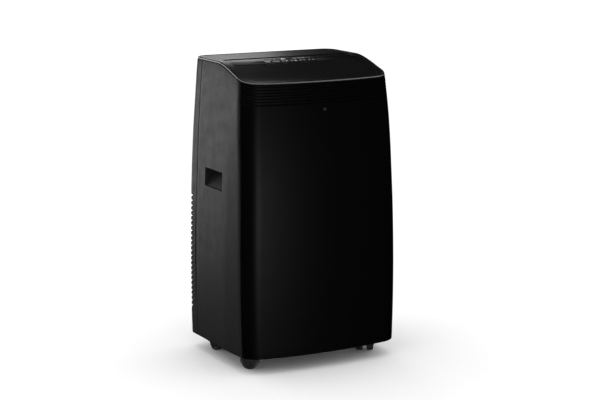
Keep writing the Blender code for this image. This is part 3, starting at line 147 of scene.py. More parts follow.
MARK_SUNK = 0.00012  # how far a printed mark reaches into the surface
MARK_HIGH = 0.0001  # and how far it stands out of it


def spread(low, high, count):
    """Evenly spaced values from low to high, both included."""
    return [low + (high - low) * i / (count - 1) for i in range(count)]


def edged(low, high, count, ease_by=ROUND):
    """Values from low to high that crowd at both ends, so that an eased edge has a round section."""
    ends = (0.0, 0.12, 0.38, 0.72, 1.0)
    first = [low + ease_by * e for e in ends]
    last = [high - ease_by * e for e in reversed(ends)]
    return first + spread(low + ease_by, high - ease_by, count)[1:-1] + last


def eased(distance, radius=ROUND):
    """How far a surface drops away at a distance from its edge, for a round edge."""
    if distance >= radius:
        return 0.0
    return radius - math.sqrt(max(0.0, radius ** 2 - (radius - max(distance, 0.0)) ** 2))


def smooth_step(t):
    t = min(max(t, 0), 1)
    return t * t * (3 - 2 * t)


def rim_height(y):
    """The height of the top edge, which follows an S-curve from back to front."""
    return HEIGHT - LIP_DROP + LIP_DROP * smooth_step((y - FRONT_Y - CURVE_FRONT) / CURVE_LENGTH)


@lru_cache(maxsize=None)
def section(z):
    """The plan's measures at a height."""
    taper = max(0, (z - TAPER_START) / (HEIGHT - TAPER_START)) ** TAPER_POWER
    tuck = TUCK * max(0, 1 - z / TUCK_TOP) ** 2
    half = WIDTH / 2 - SIDE_TAPER * taper - tuck
    front = FRONT_Y + FRONT_TAPER * taper
    rear = REAR_Y - REAR_TAPER * taper
    flare = FLARE * (1 - smooth_step((z / HEIGHT - 0.60) / 0.25))
    crease = FRONT_Y + CREASE_FROM_FRONT - CREASE_SWEEP * (1 - math.exp(-(z - SKIRT) / 0.13))
    corner_x = half - CORNER_RADIUS
    for _ in range(8):
        reach = math.sqrt((FRONT_RADIUS - CORNER_RADIUS) ** 2 - corner_x ** 2)
        corner_y = front + FRONT_RADIUS - reach
        run = crease - corner_y
        corner_x = half - run * math.tan(flare) - CORNER_RADIUS / math.cos(flare)
    arc = math.asin(corner_x / (FRONT_RADIUS - CORNER_RADIUS))
    return SimpleNamespace(half=half, front=front, rear=rear, flare=flare, crease=crease,
                           corner_x=corner_x, corner_y=corner_y, arc=arc)


def plan_point(station, z, inset=0.0):
    """Where a station of the outline lies at a height, moved inwards by inset."""
    kind, side, value = station
    s = section(round(z, 6))
    if kind == "front":
        radius = FRONT_RADIUS - inset
        angle = value * s.arc
        return radius * math.sin(angle), s.front + FRONT_RADIUS - radius * math.cos(angle)
    if kind == "corner":
        radius = CORNER_RADIUS - inset
        angle = s.arc + value * (math.pi / 2 - s.flare - s.arc)
        return side * (s.corner_x + radius * math.sin(angle)), s.corner_y - radius * math.cos(angle)
    if kind == "rear_corner":
        radius = REAR_RADIUS - inset
        angle = value * math.pi / 2
        centre = s.half - REAR_RADIUS
        return side * (centre + radius * math.cos(angle)), s.rear - REAR_RADIUS + radius * math.sin(angle)
    if kind == "rear":
        return value * (s.half - REAR_RADIUS), s.rear - inset
    if kind == "rear_x":
        return value, s.rear - inset
    if kind == "along":
        start = s.corner_y - CORNER_RADIUS * math.sin(s.flare)
        y = start + value * (s.rear - REAR_RADIUS - start)
    elif kind == "crease":
        y = s.crease + value
    elif kind == "between":
        start = s.corner_y - CORNER_RADIUS * math.sin(s.flare)
        y = start + value * (s.crease - start)
    else:
        y = value
    lean = max(0, s.crease - y) * math.tan(s.flare)
    return side * (s.half - inset - lean), y


def rim_point(station, inset, drop):
    """The point of the outline that lies a given drop below the top edge."""
    z = HEIGHT - drop
    for _ in range(12):
        x, y = plan_point(station, z, inset)
        z = rim_height(y) - drop
    return Vector((x, y, z))


# ------------------------------------------------------------------ mesh helpers
def from_faces(name, points, faces, sharp=32.0):
    """A mesh with smooth shading, its normals turned outwards, and edges sharper than an angle kept crisp."""
    mesh = bpy.data.meshes.new(name)
    mesh.from_pydata([tuple(p) for p in points], [], faces)
    work = bmesh.new()
    work.from_mesh(mesh)
    bmesh.ops.remove_doubles(work, verts=work.verts, dist=2e-6)
    bmesh.ops.recalc_face_normals(work, faces=work.faces)
    work.to_mesh(mesh)
    work.free()
    smooth(mesh, sharp)
    return mesh


def smooth(mesh, sharp=32.0):
    mesh.polygons.foreach_set("use_smooth", [True] * len(mesh.polygons))
    mesh.set_sharp_from_angle(angle=math.radians(sharp))
    mesh.update()
    return mesh


def thick_sheet(name, outer, inner, solid=lambda i, j: True):
    """A wall between two grids of points, with openings where solid(i, j) is false."""
    rows, columns = len(outer), len(outer[0])
    points = [p for row in outer for p in row] + [p for row in inner for p in row]
    shift = rows * columns
    kept = {(i, j) for i in range(rows - 1) for j in range(columns - 1) if solid(i, j)}
    faces = []
    for i, j in kept:
        a, b, c, d = i * columns + j, (i + 1) * columns + j, (i + 1) * columns + j + 1, i * columns + j + 1
        faces.append((a, b, c, d))
        faces.append((a + shift, d + shift, c + shift, b + shift))
        for (di, dj), (u, v) in (((-1, 0), (d, a)), ((1, 0), (b, c)), ((0, -1), (a, b)), ((0, 1), (c, d))):
            if (i + di, j + dj) not in kept:
                faces.append((v, u, u + shift, v + shift))
    used = sorted({v for face in faces for v in face})
    index = {v: k for k, v in enumerate(used)}
    return from_faces(name, [points[v] for v in used], [tuple(index[v] for v in face) for face in faces])


def ring_loft(name, rings, closed=False, capped=True, sharp=32.0):
    """A skin through rings of points with equal counts."""
    count = len(rings[0])
    points = [p for ring in rings for p in ring]
    faces = []
    pairs = len(rings) if closed else len(rings) - 1
    for r in range(pairs):
        a, b = r * count, (r + 1) % len(rings) * count
        for i in range(count):
            j = (i + 1) % count
            faces.append((a + i, a + j, b + j, b + i))
    if capped and not closed:
        faces.append(tuple(range(count)))
        faces.append(tuple(reversed(range((len(rings) - 1) * count, len(rings) * count))))
    return from_faces(name, points, faces, sharp)


AXES = {
    "X": Matrix(((0, 0, 1, 0), (1, 0, 0, 0), (0, 1, 0, 0), (0, 0, 0, 1))),
    "Y": Matrix(((1, 0, 0, 0), (0, 0, 1, 0), (0, 1, 0, 0), (0, 0, 0, 1))),
    "Z": Matrix.Identity(4),
}


def turned(name, profile, centre, axis, steps=96, sharp=32.0):
    """A (radius, distance) profile turned round an axis through a point; closed if it leaves the axis."""
    rings, matrix = [], Matrix.Translation(centre) @ AXES[axis]
    for k in range(steps):
        a = 2 * math.pi * k / steps
        rings.append([matrix @ Vector((r * math.cos(a), r * math.sin(a), h)) for r, h in profile])
    count = len(profile)
    faces = []
    whole = profile[0][0] > 0
    for k in range(steps):
        a, b = k * count, (k + 1) % steps * count
        for i in range(count if whole else count - 1):
            j = (i + 1) % count
            faces.append((a + i, a + j, b + j, b + i))
    return from_faces(name, [p for ring in rings for p in ring], faces, sharp)


def rounded(points, radius, steps=3):
    """An outline with each of its corners rounded, or left alone where its third value is 0."""
    made = []
    count = len(points)
    for k in range(count):
        before, here, after = (Vector(points[(k + d) % count][:2]) for d in (-1, 0, 1))
        size = points[k][2] if len(points[k]) > 2 else radius
        a, b = before - here, after - here
        if size <= 0 or a.length < 1e-9 or b.length < 1e-9:
            made.append(here)
            continue
        reach = min(size, a.length * 0.45, b.length * 0.45)
        start, end = here + a.normalized() * reach, here + b.normalized() * reach
        for t in spread(0, 1, steps + 1):
            made.append(start * (1 - t) ** 2 + here * 2 * t * (1 - t) + end * t ** 2)
    return made


def extruded(name, outline, low, high, axis, edge=0.0, sharp=32.0):
    """A flat outline extruded along an axis, with its end edges eased by a small chamfer."""
    middle = sum((Vector(p[:2]) for p in outline), Vector((0, 0))) / len(outline)

    def ring(at, shrink):
        made = []
        for p in outline:
            q = Vector(p[:2])
            if shrink:
                q = q + (middle - q).normalized() * shrink
            u, v = q
            made.append({"X": (at, u, v), "Y": (u, at, v), "Z": (u, v, at)}[axis])
        return made
    rings = [ring(low, edge), ring(low + edge, 0), ring(high - edge, 0), ring(high, edge)] if edge else \
        [ring(low, 0), ring(high, 0)]
    return ring_loft(name, rings, sharp=sharp)


def box_mesh(name, low, high, edge=0.0):
    work = bmesh.new()
    size = [b - a for a, b in zip(low, high)]
    middle = [(a + b) / 2 for a, b in zip(low, high)]
    bmesh.ops.create_cube(work, size=1, matrix=Matrix.Translation(middle) @ Matrix.Diagonal((*size, 1)))
    if edge:
        bmesh.ops.bevel(work, geom=work.edges[:], offset=edge, segments=2, profile=0.5, affect="EDGES")
    mesh = bpy.data.meshes.new(name)
    work.to_mesh(mesh)
    work.free()
    return smooth(mesh)


def merged(name, meshes, sharp=32.0):
    """One mesh out of several, which are removed."""
    work = bmesh.new()
    for mesh in meshes:
        work.from_mesh(mesh)
        bpy.data.meshes.remove(mesh)
    whole = bpy.data.meshes.new(name)
    work.to_mesh(whole)
    work.free()
    return smooth(whole, sharp)


def carved(mesh, cutters, operation="DIFFERENCE", sharp=32.0):
    """The mesh with others cut from it, or kept only inside them."""
    scene = bpy.context.scene.collection
    body = bpy.data.objects.new("carving", mesh)
    scene.objects.link(body)
    tools = []
    for cutter in cutters:
        tool = bpy.data.objects.new("cutter", cutter)
        scene.objects.link(tool)
        tools.append(tool)
        step = body.modifiers.new("carve", "BOOLEAN")
        step.operation = operation
        step.object = tool
        step.solver = "EXACT"
    made = evaluated(body)
    for obj in [body, *tools]:
        old = obj.data
        bpy.data.objects.remove(obj)
        bpy.data.meshes.remove(old)
    return smooth(made, sharp)


def evaluated(obj):
    """The plain mesh that an object's modifiers make."""
    bpy.context.view_layer.update()
    graph = bpy.context.evaluated_depsgraph_get()
    return bpy.data.meshes.new_from_object(obj.evaluated_get(graph), depsgraph=graph)


def eased_edges(mesh, width, segments=2, angle=35.0, sharp=32.0):
    """The mesh with its sharp edges bevelled."""
    obj = bpy.data.objects.new("easing", mesh)
    bpy.context.scene.collection.objects.link(obj)
    bevel = obj.modifiers.new("ease", "BEVEL")
    bevel.width = width
    bevel.segments = segments
    bevel.limit_method = "ANGLE"
    bevel.angle_limit = math.radians(angle)
    made = evaluated(obj)
    bpy.data.objects.remove(obj)
    bpy.data.meshes.remove(mesh)
    return smooth(made, sharp)


def add_piece(name, mesh, body, material, stands_for=()):
    """Puts a finished mesh in the scene as a piece that rides on a body."""
    mesh.name = name
    mesh.materials.clear()
    mesh.materials.append(material)
    mesh.polygons.foreach_set("material_index", [0] * len(mesh.polygons))
    piece = bpy.data.objects.new(name, mesh)
    bpy.context.scene.collection.objects.link(piece)
    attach(piece, body)
    if stands_for:
        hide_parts(*stands_for)
    return piece


# ------------------------------------------------------------------ geometry node helpers
def node_tree(name, inputs):
    """A geometry node group with a geometry input, named inputs, and its identifiers by name."""
    tree = bpy.data.node_groups.new(name, "GeometryNodeTree")
    tree.interface.new_socket("Geometry", in_out="INPUT", socket_type="NodeSocketGeometry")
    ids = {}
    for label, kind, default in inputs:
        socket = tree.interface.new_socket(label, in_out="INPUT", socket_type=f"NodeSocket{kind}")
        if default is not None:
            socket.default_value = default
        ids[label] = socket.identifier
    tree.interface.new_socket("Geometry", in_out="OUTPUT", socket_type="NodeSocketGeometry")
    source = tree.nodes.new("NodeGroupInput")
    return tree, source, ids


def link(tree, a, b):
    tree.links.new(a, b)


def close_tree(tree, source, geometry):
    """Ends a tree with its instances made real and its material set."""
    real = tree.nodes.new("GeometryNodeRealizeInstances")
    paint = tree.nodes.new("GeometryNodeSetMaterial")
    end = tree.nodes.new("NodeGroupOutput")
    link(tree, geometry, real.inputs["Geometry"])
    link(tree, real.outputs["Geometry"], paint.inputs["Geometry"])
    link(tree, source.outputs["Material"], paint.inputs["Material"])
    link(tree, paint.outputs["Geometry"], end.inputs["Geometry"])


def grown(name, base, tree, ids, values, sharp=32.0):
    """Runs a node group on a base mesh with the given inputs, and returns the plain mesh that it makes."""
    obj = bpy.data.objects.new(name, base or bpy.data.meshes.new(name + "_base"))
    bpy.context.scene.collection.objects.link(obj)
    step = obj.modifiers.new("grow", "NODES")
    step.node_group = tree
    for label, value in values.items():
        step[ids[label]] = value
    made = evaluated(obj)
    obj.modifiers.remove(step)
    old = obj.data
    bpy.data.objects.remove(obj)
    bpy.data.meshes.remove(old)
    return smooth(made, sharp)


@lru_cache(maxsize=None)
def slat_tree():
    """Slats swept along paths: a leaning section with round corners, upright all the way."""
    tree, source, ids = node_tree("slats_along_paths", (
        ("Depth", "Float", 0.009), ("Height", "Float", 0.0056), ("Lean", "Float", 0.003),
        ("Corner", "Float", 0.0006), ("Material", "Material", None)))
    paths = tree.nodes.new("GeometryNodeMeshToCurve")
    upright = tree.nodes.new("GeometryNodeSetCurveNormal")
    upright.mode = "Z_UP"
    profile = tree.nodes.new("GeometryNodeCurvePrimitiveQuadrilateral")
    profile.mode = "PARALLELOGRAM"
    fillet = tree.nodes.new("GeometryNodeFilletCurve")
    fillet.mode = "POLY"
    fillet.inputs["Count"].default_value = 2
    turn = tree.nodes.new("GeometryNodeTransform")
    turn.inputs["Rotation"].default_value = (0, 0, math.radians(90))
    sweep = tree.nodes.new("GeometryNodeCurveToMesh")
    sweep.inputs["Fill Caps"].default_value = True
    link(tree, source.outputs["Geometry"], paths.inputs["Mesh"])
    link(tree, paths.outputs["Curve"], upright.inputs["Curve"])
    link(tree, source.outputs["Height"], profile.inputs["Width"])
    link(tree, source.outputs["Depth"], profile.inputs["Height"])
    link(tree, source.outputs["Lean"], profile.inputs["Offset"])
    link(tree, profile.outputs["Curve"], fillet.inputs["Curve"])
    link(tree, source.outputs["Corner"], fillet.inputs["Radius"])
    link(tree, fillet.outputs["Curve"], turn.inputs["Geometry"])
    link(tree, upright.outputs["Curve"], sweep.inputs["Curve"])
    link(tree, turn.outputs["Geometry"], sweep.inputs["Profile Curve"])
    close_tree(tree, source, sweep.outputs["Mesh"])
    return tree, ids


@lru_cache(maxsize=None)
def row_tree():
    """Bars in a straight row."""
    tree, source, ids = node_tree("bars_in_a_row", (
        ("Start", "Vector", (0, 0, 0)), ("Step", "Vector", (0, 0, 0.01)), ("Count", "Int", 10),
        ("Size", "Vector", (0.1, 0.002, 0.002)), ("Material", "Material", None)))
    line = tree.nodes.new("GeometryNodeMeshLine")
    line.mode = "OFFSET"
    bar = tree.nodes.new("GeometryNodeMeshCube")
    copies = tree.nodes.new("GeometryNodeInstanceOnPoints")
    link(tree, source.outputs["Count"], line.inputs["Count"])
    link(tree, source.outputs["Start"], line.inputs["Start Location"])
    link(tree, source.outputs["Step"], line.inputs["Offset"])
    link(tree, source.outputs["Size"], bar.inputs["Size"])
    link(tree, line.outputs["Mesh"], copies.inputs["Points"])
    link(tree, bar.outputs["Mesh"], copies.inputs["Instance"])
    close_tree(tree, source, copies.outputs["Instances"])
    return tree, ids


@lru_cache(maxsize=None)
def ring_tree():
    """Blades or ribs in a ring round Z, each turned to face outwards and tilted by an angle."""
    tree, source, ids = node_tree("blades_in_a_ring", (
        ("Radius", "Float", 0.05), ("Count", "Int", 12), ("Size", "Vector", (0.01, 0.002, 0.05)),
        ("Tilt", "Float", 0.0), ("Lift", "Vector", (0, 0, 0)), ("Material", "Material", None)))
    circle = tree.nodes.new("GeometryNodeMeshCircle")
    blade = tree.nodes.new("GeometryNodeMeshCube")
    copies = tree.nodes.new("GeometryNodeInstanceOnPoints")
    index = tree.nodes.new("GeometryNodeInputIndex")
    share = tree.nodes.new("ShaderNodeMath")
    share.operation = "DIVIDE"
    angle = tree.nodes.new("ShaderNodeMath")
    angle.operation = "MULTIPLY_ADD"
    angle.inputs[1].default_value = 2 * math.pi
    euler = tree.nodes.new("ShaderNodeCombineXYZ")
    raise_up = tree.nodes.new("GeometryNodeTransform")
    link(tree, source.outputs["Count"], circle.inputs["Vertices"])
    link(tree, source.outputs["Radius"], circle.inputs["Radius"])
    link(tree, source.outputs["Size"], blade.inputs["Size"])
    link(tree, index.outputs["Index"], share.inputs[0])
    link(tree, source.outputs["Count"], share.inputs[1])
    link(tree, share.outputs[0], angle.inputs[0])
    link(tree, source.outputs["Tilt"], angle.inputs[2])
    link(tree, angle.outputs[0], euler.inputs["Z"])
    link(tree, circle.outputs["Mesh"], copies.inputs["Points"])
    link(tree, blade.outputs["Mesh"], copies.inputs["Instance"])
    link(tree, euler.outputs[0], copies.inputs["Rotation"])
    link(tree, copies.outputs["Instances"], raise_up.inputs["Geometry"])
    link(tree, source.outputs["Lift"], raise_up.inputs["Translation"])
    close_tree(tree, source, raise_up.outputs["Geometry"])
    return tree, ids


@lru_cache(maxsize=None)
def screw_tree():
    """A socket-head screw on every point, facing +Y, each turned by a seeded angle."""
    tree, source, ids = node_tree("screws_on_points", (
        ("Radius", "Float", 0.0035), ("Head", "Float", 0.0018), ("Seed", "Int", 4),
        ("Material", "Material", None)))
    head = tree.nodes.new("GeometryNodeMeshCylinder")
    head.inputs["Vertices"].default_value = 20
    socket = tree.nodes.new("GeometryNodeMeshCylinder")
    socket.inputs["Vertices"].default_value = 6
    socket.inputs["Radius"].default_value = 0.0017
    socket.inputs["Depth"].default_value = 0.002
    lift = tree.nodes.new("GeometryNodeTransform")
    lift.inputs["Translation"].default_value = (0, 0, 0.0014)
    sunk = tree.nodes.new("GeometryNodeMeshBoolean")
    sunk.operation = "DIFFERENCE"
    roll = tree.nodes.new("FunctionNodeRandomValue")
    roll.data_type = "FLOAT_VECTOR"
    roll.inputs["Min"].default_value = (math.radians(-90), 0, 0)
    roll.inputs["Max"].default_value = (math.radians(-90), math.pi, 0)
    copies = tree.nodes.new("GeometryNodeInstanceOnPoints")
    link(tree, source.outputs["Radius"], head.inputs["Radius"])
    link(tree, source.outputs["Head"], head.inputs["Depth"])
    link(tree, socket.outputs["Mesh"], lift.inputs["Geometry"])
    link(tree, head.outputs["Mesh"], sunk.inputs["Mesh 1"])
    link(tree, lift.outputs["Geometry"], sunk.inputs["Mesh 2"])
    link(tree, source.outputs["Seed"], roll.inputs["Seed"])
    link(tree, source.outputs["Geometry"], copies.inputs["Points"])
    link(tree, sunk.outputs["Mesh"], copies.inputs["Instance"])
    link(tree, roll.outputs["Value"], copies.inputs["Rotation"])
    close_tree(tree, source, copies.outputs["Instances"])
    return tree, ids


# ------------------------------------------------------------------ finishes
def shader(material):
    return material.node_tree.nodes["Principled BSDF"]


def finish(name, colour, roughness, metallic=0.0, specular=0.5, coat=0.0, grain=(2600, 0.06),
           blotch=(9, 0.10), rough_swing=0.10, scratches=0.0, dust=0.0, wear_and_highlight_amount=0.5):
    """A moulded, painted or metal surface: colour that varies a little, uneven gloss and a fine grain."""
    material = bpy.data.materials.get(name)
    if material:
        return material
    material = bpy.data.materials.new(name)
    material.use_nodes = True
    tree, surface = material.node_tree, shader(material)
    surface.inputs["Metallic"].default_value = metallic
    surface.inputs["Specular IOR Level"].default_value = specular
    surface.inputs["Coat Weight"].default_value = coat
    surface.inputs["Coat Roughness"].default_value = 0.08
    place = tree.nodes.new("ShaderNodeTexCoord")
    broad = tree.nodes.new("ShaderNodeTexNoise")
    broad.inputs["Scale"].default_value = blotch[0]
    broad.inputs["Detail"].default_value = 5
    link(tree, place.outputs["Object"], broad.inputs["Vector"])
    tone = tree.nodes.new("ShaderNodeMapRange")
    tone.inputs["To Min"].default_value = 1 - blotch[1]
    tone.inputs["To Max"].default_value = 1 + blotch[1]
    link(tree, broad.outputs["Fac"], tone.inputs["Value"])
    mix = tree.nodes.new("ShaderNodeMix")
    mix.data_type = "RGBA"
    mix.blend_type = "MULTIPLY"
    mix.inputs["Factor"].default_value = 1
    mix.inputs["A"].default_value = (*colour, 1)
    link(tree, tone.outputs["Result"], mix.inputs["B"])
    shade = mix.outputs["Result"]
    # Sharp edges are painted paler here: partly wear, partly a painted highlight.
    shade = add_edge_wear_and_highlight(tree, place, shade, colour, wear_and_highlight_amount)
    if dust:
        shade = add_dust(tree, place, shade, dust)
    link(tree, shade, surface.inputs["Base Color"])
    uneven = tree.nodes.new("ShaderNodeTexNoise")
    uneven.inputs["Scale"].default_value = 34
    uneven.inputs["Detail"].default_value = 8
    uneven.inputs["Roughness"].default_value = 0.65
    link(tree, place.outputs["Object"], uneven.inputs["Vector"])
    gloss = tree.nodes.new("ShaderNodeMapRange")
    gloss.inputs["From Min"].default_value = 0.3
    gloss.inputs["From Max"].default_value = 0.7
    gloss.inputs["To Min"].default_value = max(0.02, roughness - rough_swing / 2)
    gloss.inputs["To Max"].default_value = min(1, roughness + rough_swing / 2)
    link(tree, uneven.outputs["Fac"], gloss.inputs["Value"])
    link(tree, gloss.outputs["Result"], surface.inputs["Roughness"])
    fine = tree.nodes.new("ShaderNodeTexNoise")
    fine.inputs["Scale"].default_value = grain[0]
    fine.inputs["Detail"].default_value = 2
    link(tree, place.outputs["Object"], fine.inputs["Vector"])
    height = fine.outputs["Fac"]
    if scratches:
        height = add_scratches(tree, place, height, scratches)
    bump = tree.nodes.new("ShaderNodeBump")
    bump.inputs["Strength"].default_value = grain[1]
    bump.inputs["Distance"].default_value = 0.0003
    link(tree, height, bump.inputs["Height"])
    link(tree, bump.outputs["Normal"], surface.inputs["Normal"])
    return material


def add_edge_wear_and_highlight(tree, place, shade, colour, amount):
    """A paler tone along the sharp outer edges, broken up by a noise: partly rubbed wear and partly a painted
    highlight where the edges catch the light.
    """
    form = tree.nodes.new("ShaderNodeNewGeometry")
    edge = tree.nodes.new("ShaderNodeMapRange")
    edge.inputs["From Min"].default_value = 0.53
    edge.inputs["From Max"].default_value = 0.66
    edge.inputs["To Max"].default_value = amount
    link(tree, form.outputs["Pointiness"], edge.inputs["Value"])
    wear_and_highlight_noise = tree.nodes.new("ShaderNodeTexNoise")
    wear_and_highlight_noise.inputs["Scale"].default_value = 70
    wear_and_highlight_noise.inputs["Detail"].default_value = 6
    link(tree, place.outputs["Object"], wear_and_highlight_noise.inputs["Vector"])
    share = tree.nodes.new("ShaderNodeMath")
    share.operation = "MULTIPLY"
    link(tree, edge.outputs["Result"], share.inputs[0])
    link(tree, wear_and_highlight_noise.outputs["Fac"], share.inputs[1])
    mix = tree.nodes.new("ShaderNodeMix")
    mix.data_type = "RGBA"
    # The paler edge colour: wear and a painted highlight together.
    mix.inputs["B"].default_value = (*(min(1, c * 1.8 + 0.015) for c in colour), 1)
    link(tree, share.outputs[0], mix.inputs["Factor"])
    link(tree, shade, mix.inputs["A"])
    return mix.outputs["Result"]


def add_dust(tree, place, shade, amount):
    """Pale dust that gathers in patches."""
    patches = tree.nodes.new("ShaderNodeTexNoise")
    patches.inputs["Scale"].default_value = 55
    patches.inputs["Detail"].default_value = 9
    link(tree, place.outputs["Object"], patches.inputs["Vector"])
    share = tree.nodes.new("ShaderNodeMapRange")
    share.inputs["From Min"].default_value = 0.50
    share.inputs["From Max"].default_value = 0.80
    share.inputs["To Max"].default_value = amount
    link(tree, patches.outputs["Fac"], share.inputs["Value"])
    mix = tree.nodes.new("ShaderNodeMix")
    mix.data_type = "RGBA"
    mix.inputs["B"].default_value = (0.20, 0.19, 0.175, 1)
    link(tree, share.outputs["Result"], mix.inputs["Factor"])
    link(tree, shade, mix.inputs["A"])
    return mix.outputs["Result"]


def add_scratches(tree, place, height, amount):
    """Fine lines that run along one way, as on brushed or drawn metal."""
    stretch = tree.nodes.new("ShaderNodeMapping")
    stretch.inputs["Scale"].default_value = (12, 900, 900)
    lines = tree.nodes.new("ShaderNodeTexNoise")
    lines.inputs["Scale"].default_value = 1
    lines.inputs["Detail"].default_value = 4
    link(tree, place.outputs["Object"], stretch.inputs["Vector"])
    link(tree, stretch.outputs["Vector"], lines.inputs["Vector"])
    mix = tree.nodes.new("ShaderNodeMix")
    mix.data_type = "FLOAT"
    mix.inputs["Factor"].default_value = amount
    link(tree, height, mix.inputs["A"])
    link(tree, lines.outputs["Fac"], mix.inputs["B"])
    return mix.outputs["Result"]


def cellular(name, colour, size, depth, roughness=0.85):
    """A beaded or woven-looking surface made of small cells, such as foam or a circuit board's mask."""
    material = finish(name, colour, roughness, grain=(700, 0.1), blotch=(14, 0.06))
    if "cells" in material.node_tree.nodes:
        return material
    tree, surface = material.node_tree, shader(material)
    place = tree.nodes.new("ShaderNodeTexCoord")
    cells = tree.nodes.new("ShaderNodeTexVoronoi")
    cells.name = "cells"
    cells.feature = "DISTANCE_TO_EDGE"
    cells.inputs["Scale"].default_value = 1 / size
    link(tree, place.outputs["Object"], cells.inputs["Vector"])
    bump = tree.nodes.new("ShaderNodeBump")
    bump.inputs["Strength"].default_value = depth
    bump.inputs["Distance"].default_value = size * 0.3
    link(tree, cells.outputs["Distance"], bump.inputs["Height"])
    link(tree, bump.outputs["Normal"], surface.inputs["Normal"])
    return material


def casing_black():
    look = bpy.context.scene.cooler_finishes
    return finish("casing_black", look.casing_colour, look.casing_roughness, specular=look.casing_specular,
                  grain=(2400, look.casing_grain), blotch=(7, 0.08), rough_swing=0.08)


def front_black():
    look = bpy.context.scene.cooler_finishes
    return finish("front_black", look.front_colour, look.front_roughness, specular=look.front_specular,
                  grain=(3200, 0.035), blotch=(4, 0.07), rough_swing=0.05)


def top_black():
    look = bpy.context.scene.cooler_finishes
    return finish("top_black", look.top_colour, look.top_roughness, specular=look.top_specular,
                  grain=(3000, 0.04), blotch=(6, 0.08), rough_swing=0.07)


def key_black():
    return finish("key_black", (0.020, 0.020, 0.021), 0.32, grain=(3000, 0.05), rough_swing=0.08)


def printed_grey():
    look = bpy.context.scene.cooler_finishes
    return finish("printed_grey", look.print_colour, 0.55, grain=(5200, 0.12), blotch=(120, 0.10))


# A pale grey for the band round the top's rim, which is a painted highlight of the rim's edge.
def rim_highlight_grey():
    return finish("rim_highlight_grey", (0.11, 0.11, 0.115), 0.30, specular=0.6, grain=(4200, 0.05),
                  blotch=(60, 0.12))


def dim_print():
    return finish("dim_print", (0.03, 0.03, 0.031), 0.5, grain=(5200, 0.12), blotch=(120, 0.10))


def window_tint():
    return finish("window_tint", (0.030, 0.030, 0.038), 0.16, coat=0.6, grain=(1200, 0.01),
                  blotch=(30, 0.10))


def wheel_black():
    return finish("wheel_black", (0.016, 0.016, 0.017), 0.45, grain=(1500, 0.15), dust=0.12)


def tread_rubber():
    return finish("tread_rubber", (0.022, 0.022, 0.022), 0.78, grain=(900, 0.35), dust=0.30)


def soft_rubber():
    return finish("soft_rubber", (0.026, 0.026, 0.027), 0.70, grain=(1400, 0.25), blotch=(40, 0.12))


def fin_metal():
    return finish("fin_metal", (0.62, 0.64, 0.66), 0.34, metallic=1.0, grain=(800, 0.10), blotch=(26, 0.14),
                  scratches=0.5, dust=0.05)


def steel():
    return finish("plated_steel", (0.50, 0.51, 0.52), 0.36, metallic=1.0, grain=(900, 0.12),
                  blotch=(30, 0.12),
                  scratches=0.6)


def copper():
    return finish("drawn_copper", (0.70, 0.36, 0.22), 0.30, metallic=1.0, grain=(700, 0.08),
                  blotch=(45, 0.22),
                  scratches=0.4)


def pan_paint():
    return finish("pan_paint", (0.024, 0.024, 0.026), 0.46, grain=(420, 0.20), blotch=(12, 0.12), dust=0.06)


def white_moulding():
    return finish("white_moulding", (0.66, 0.66, 0.63), 0.48, grain=(1600, 0.10), blotch=(18, 0.05),
                  dust=0.06)


def grey_moulding():
    return finish("grey_moulding", (0.20, 0.20, 0.21), 0.52, grain=(1800, 0.12), blotch=(20, 0.06))


def filter_threads():
    return finish("filter_threads", (0.055, 0.060, 0.066), 0.62, grain=(4000, 0.2), blotch=(60, 0.15),
                  dust=0.12)


def foam():
    return cellular("white_foam", (0.60, 0.60, 0.57), 0.0035, 0.5)


def board_mask():
    return cellular("board_mask", (0.016, 0.120, 0.050), 0.0016, 0.25, 0.42)


# ------------------------------------------------------------------ the walls
FRONT_LEVELS = spread(0, 1, 40)


def groove_profile(drop, width, depth, steps=6):
    """A half-round groove as (drop below the top edge, inset) pairs, from its foot to its head."""
    made = [(drop + width / 2 + ROUND * 0.4, 0.0)]
    for t in spread(1, -1, steps + 1):
        made.append((drop + t * width / 2,
                     depth * math.sqrt(max(0.0, 1 - t * t)) if abs(t) < 1 else depth * 0.12))
    made.append((drop - width / 2 - ROUND * 0.4, 0.0))
    return made


def wall_section(station, edge_inset, grooves, shape):
    """A section through a wall: up the outside, over the top edge, and down the inside."""
    top = rim_point(station, edge_inset, PANEL_DROP)
    reach = top.z - SKIRT
    path = [(SKIRT, 0.0014), (SKIRT + 0.0006, 0.0006), (SKIRT + 0.0016, 0.0001), (SKIRT + 0.003, 0)]
    end = rim_height(top.y) - shape[0] - shape[1] * (grooves - 0.4) if grooves else top.z - ROUND
    path += [(SKIRT + 0.003 + (end - SKIRT - 0.003) * f, 0) for f in FRONT_LEVELS[1:]]
    for k in reversed(range(grooves)):
        drop = shape[0] + k * shape[1]
        path += [(rim_height(top.y) - d, inset) for d, inset in groove_profile(drop, shape[2], shape[3])]
    path += [(top.z - ROUND, 0), (top.z - ROUND * 0.38, ROUND * 0.12), (top.z - ROUND * 0.12, ROUND * 0.38),
             (top.z, ROUND)]
    path += [(top.z, WALL)] + [(SKIRT + reach * f, WALL) for f in (0.94, 0.82, 0.66, 0.48, 0.26, 0.0)]
    return [Vector((*plan_point(station, z, inset + edge_inset), z)) for z, inset in path]


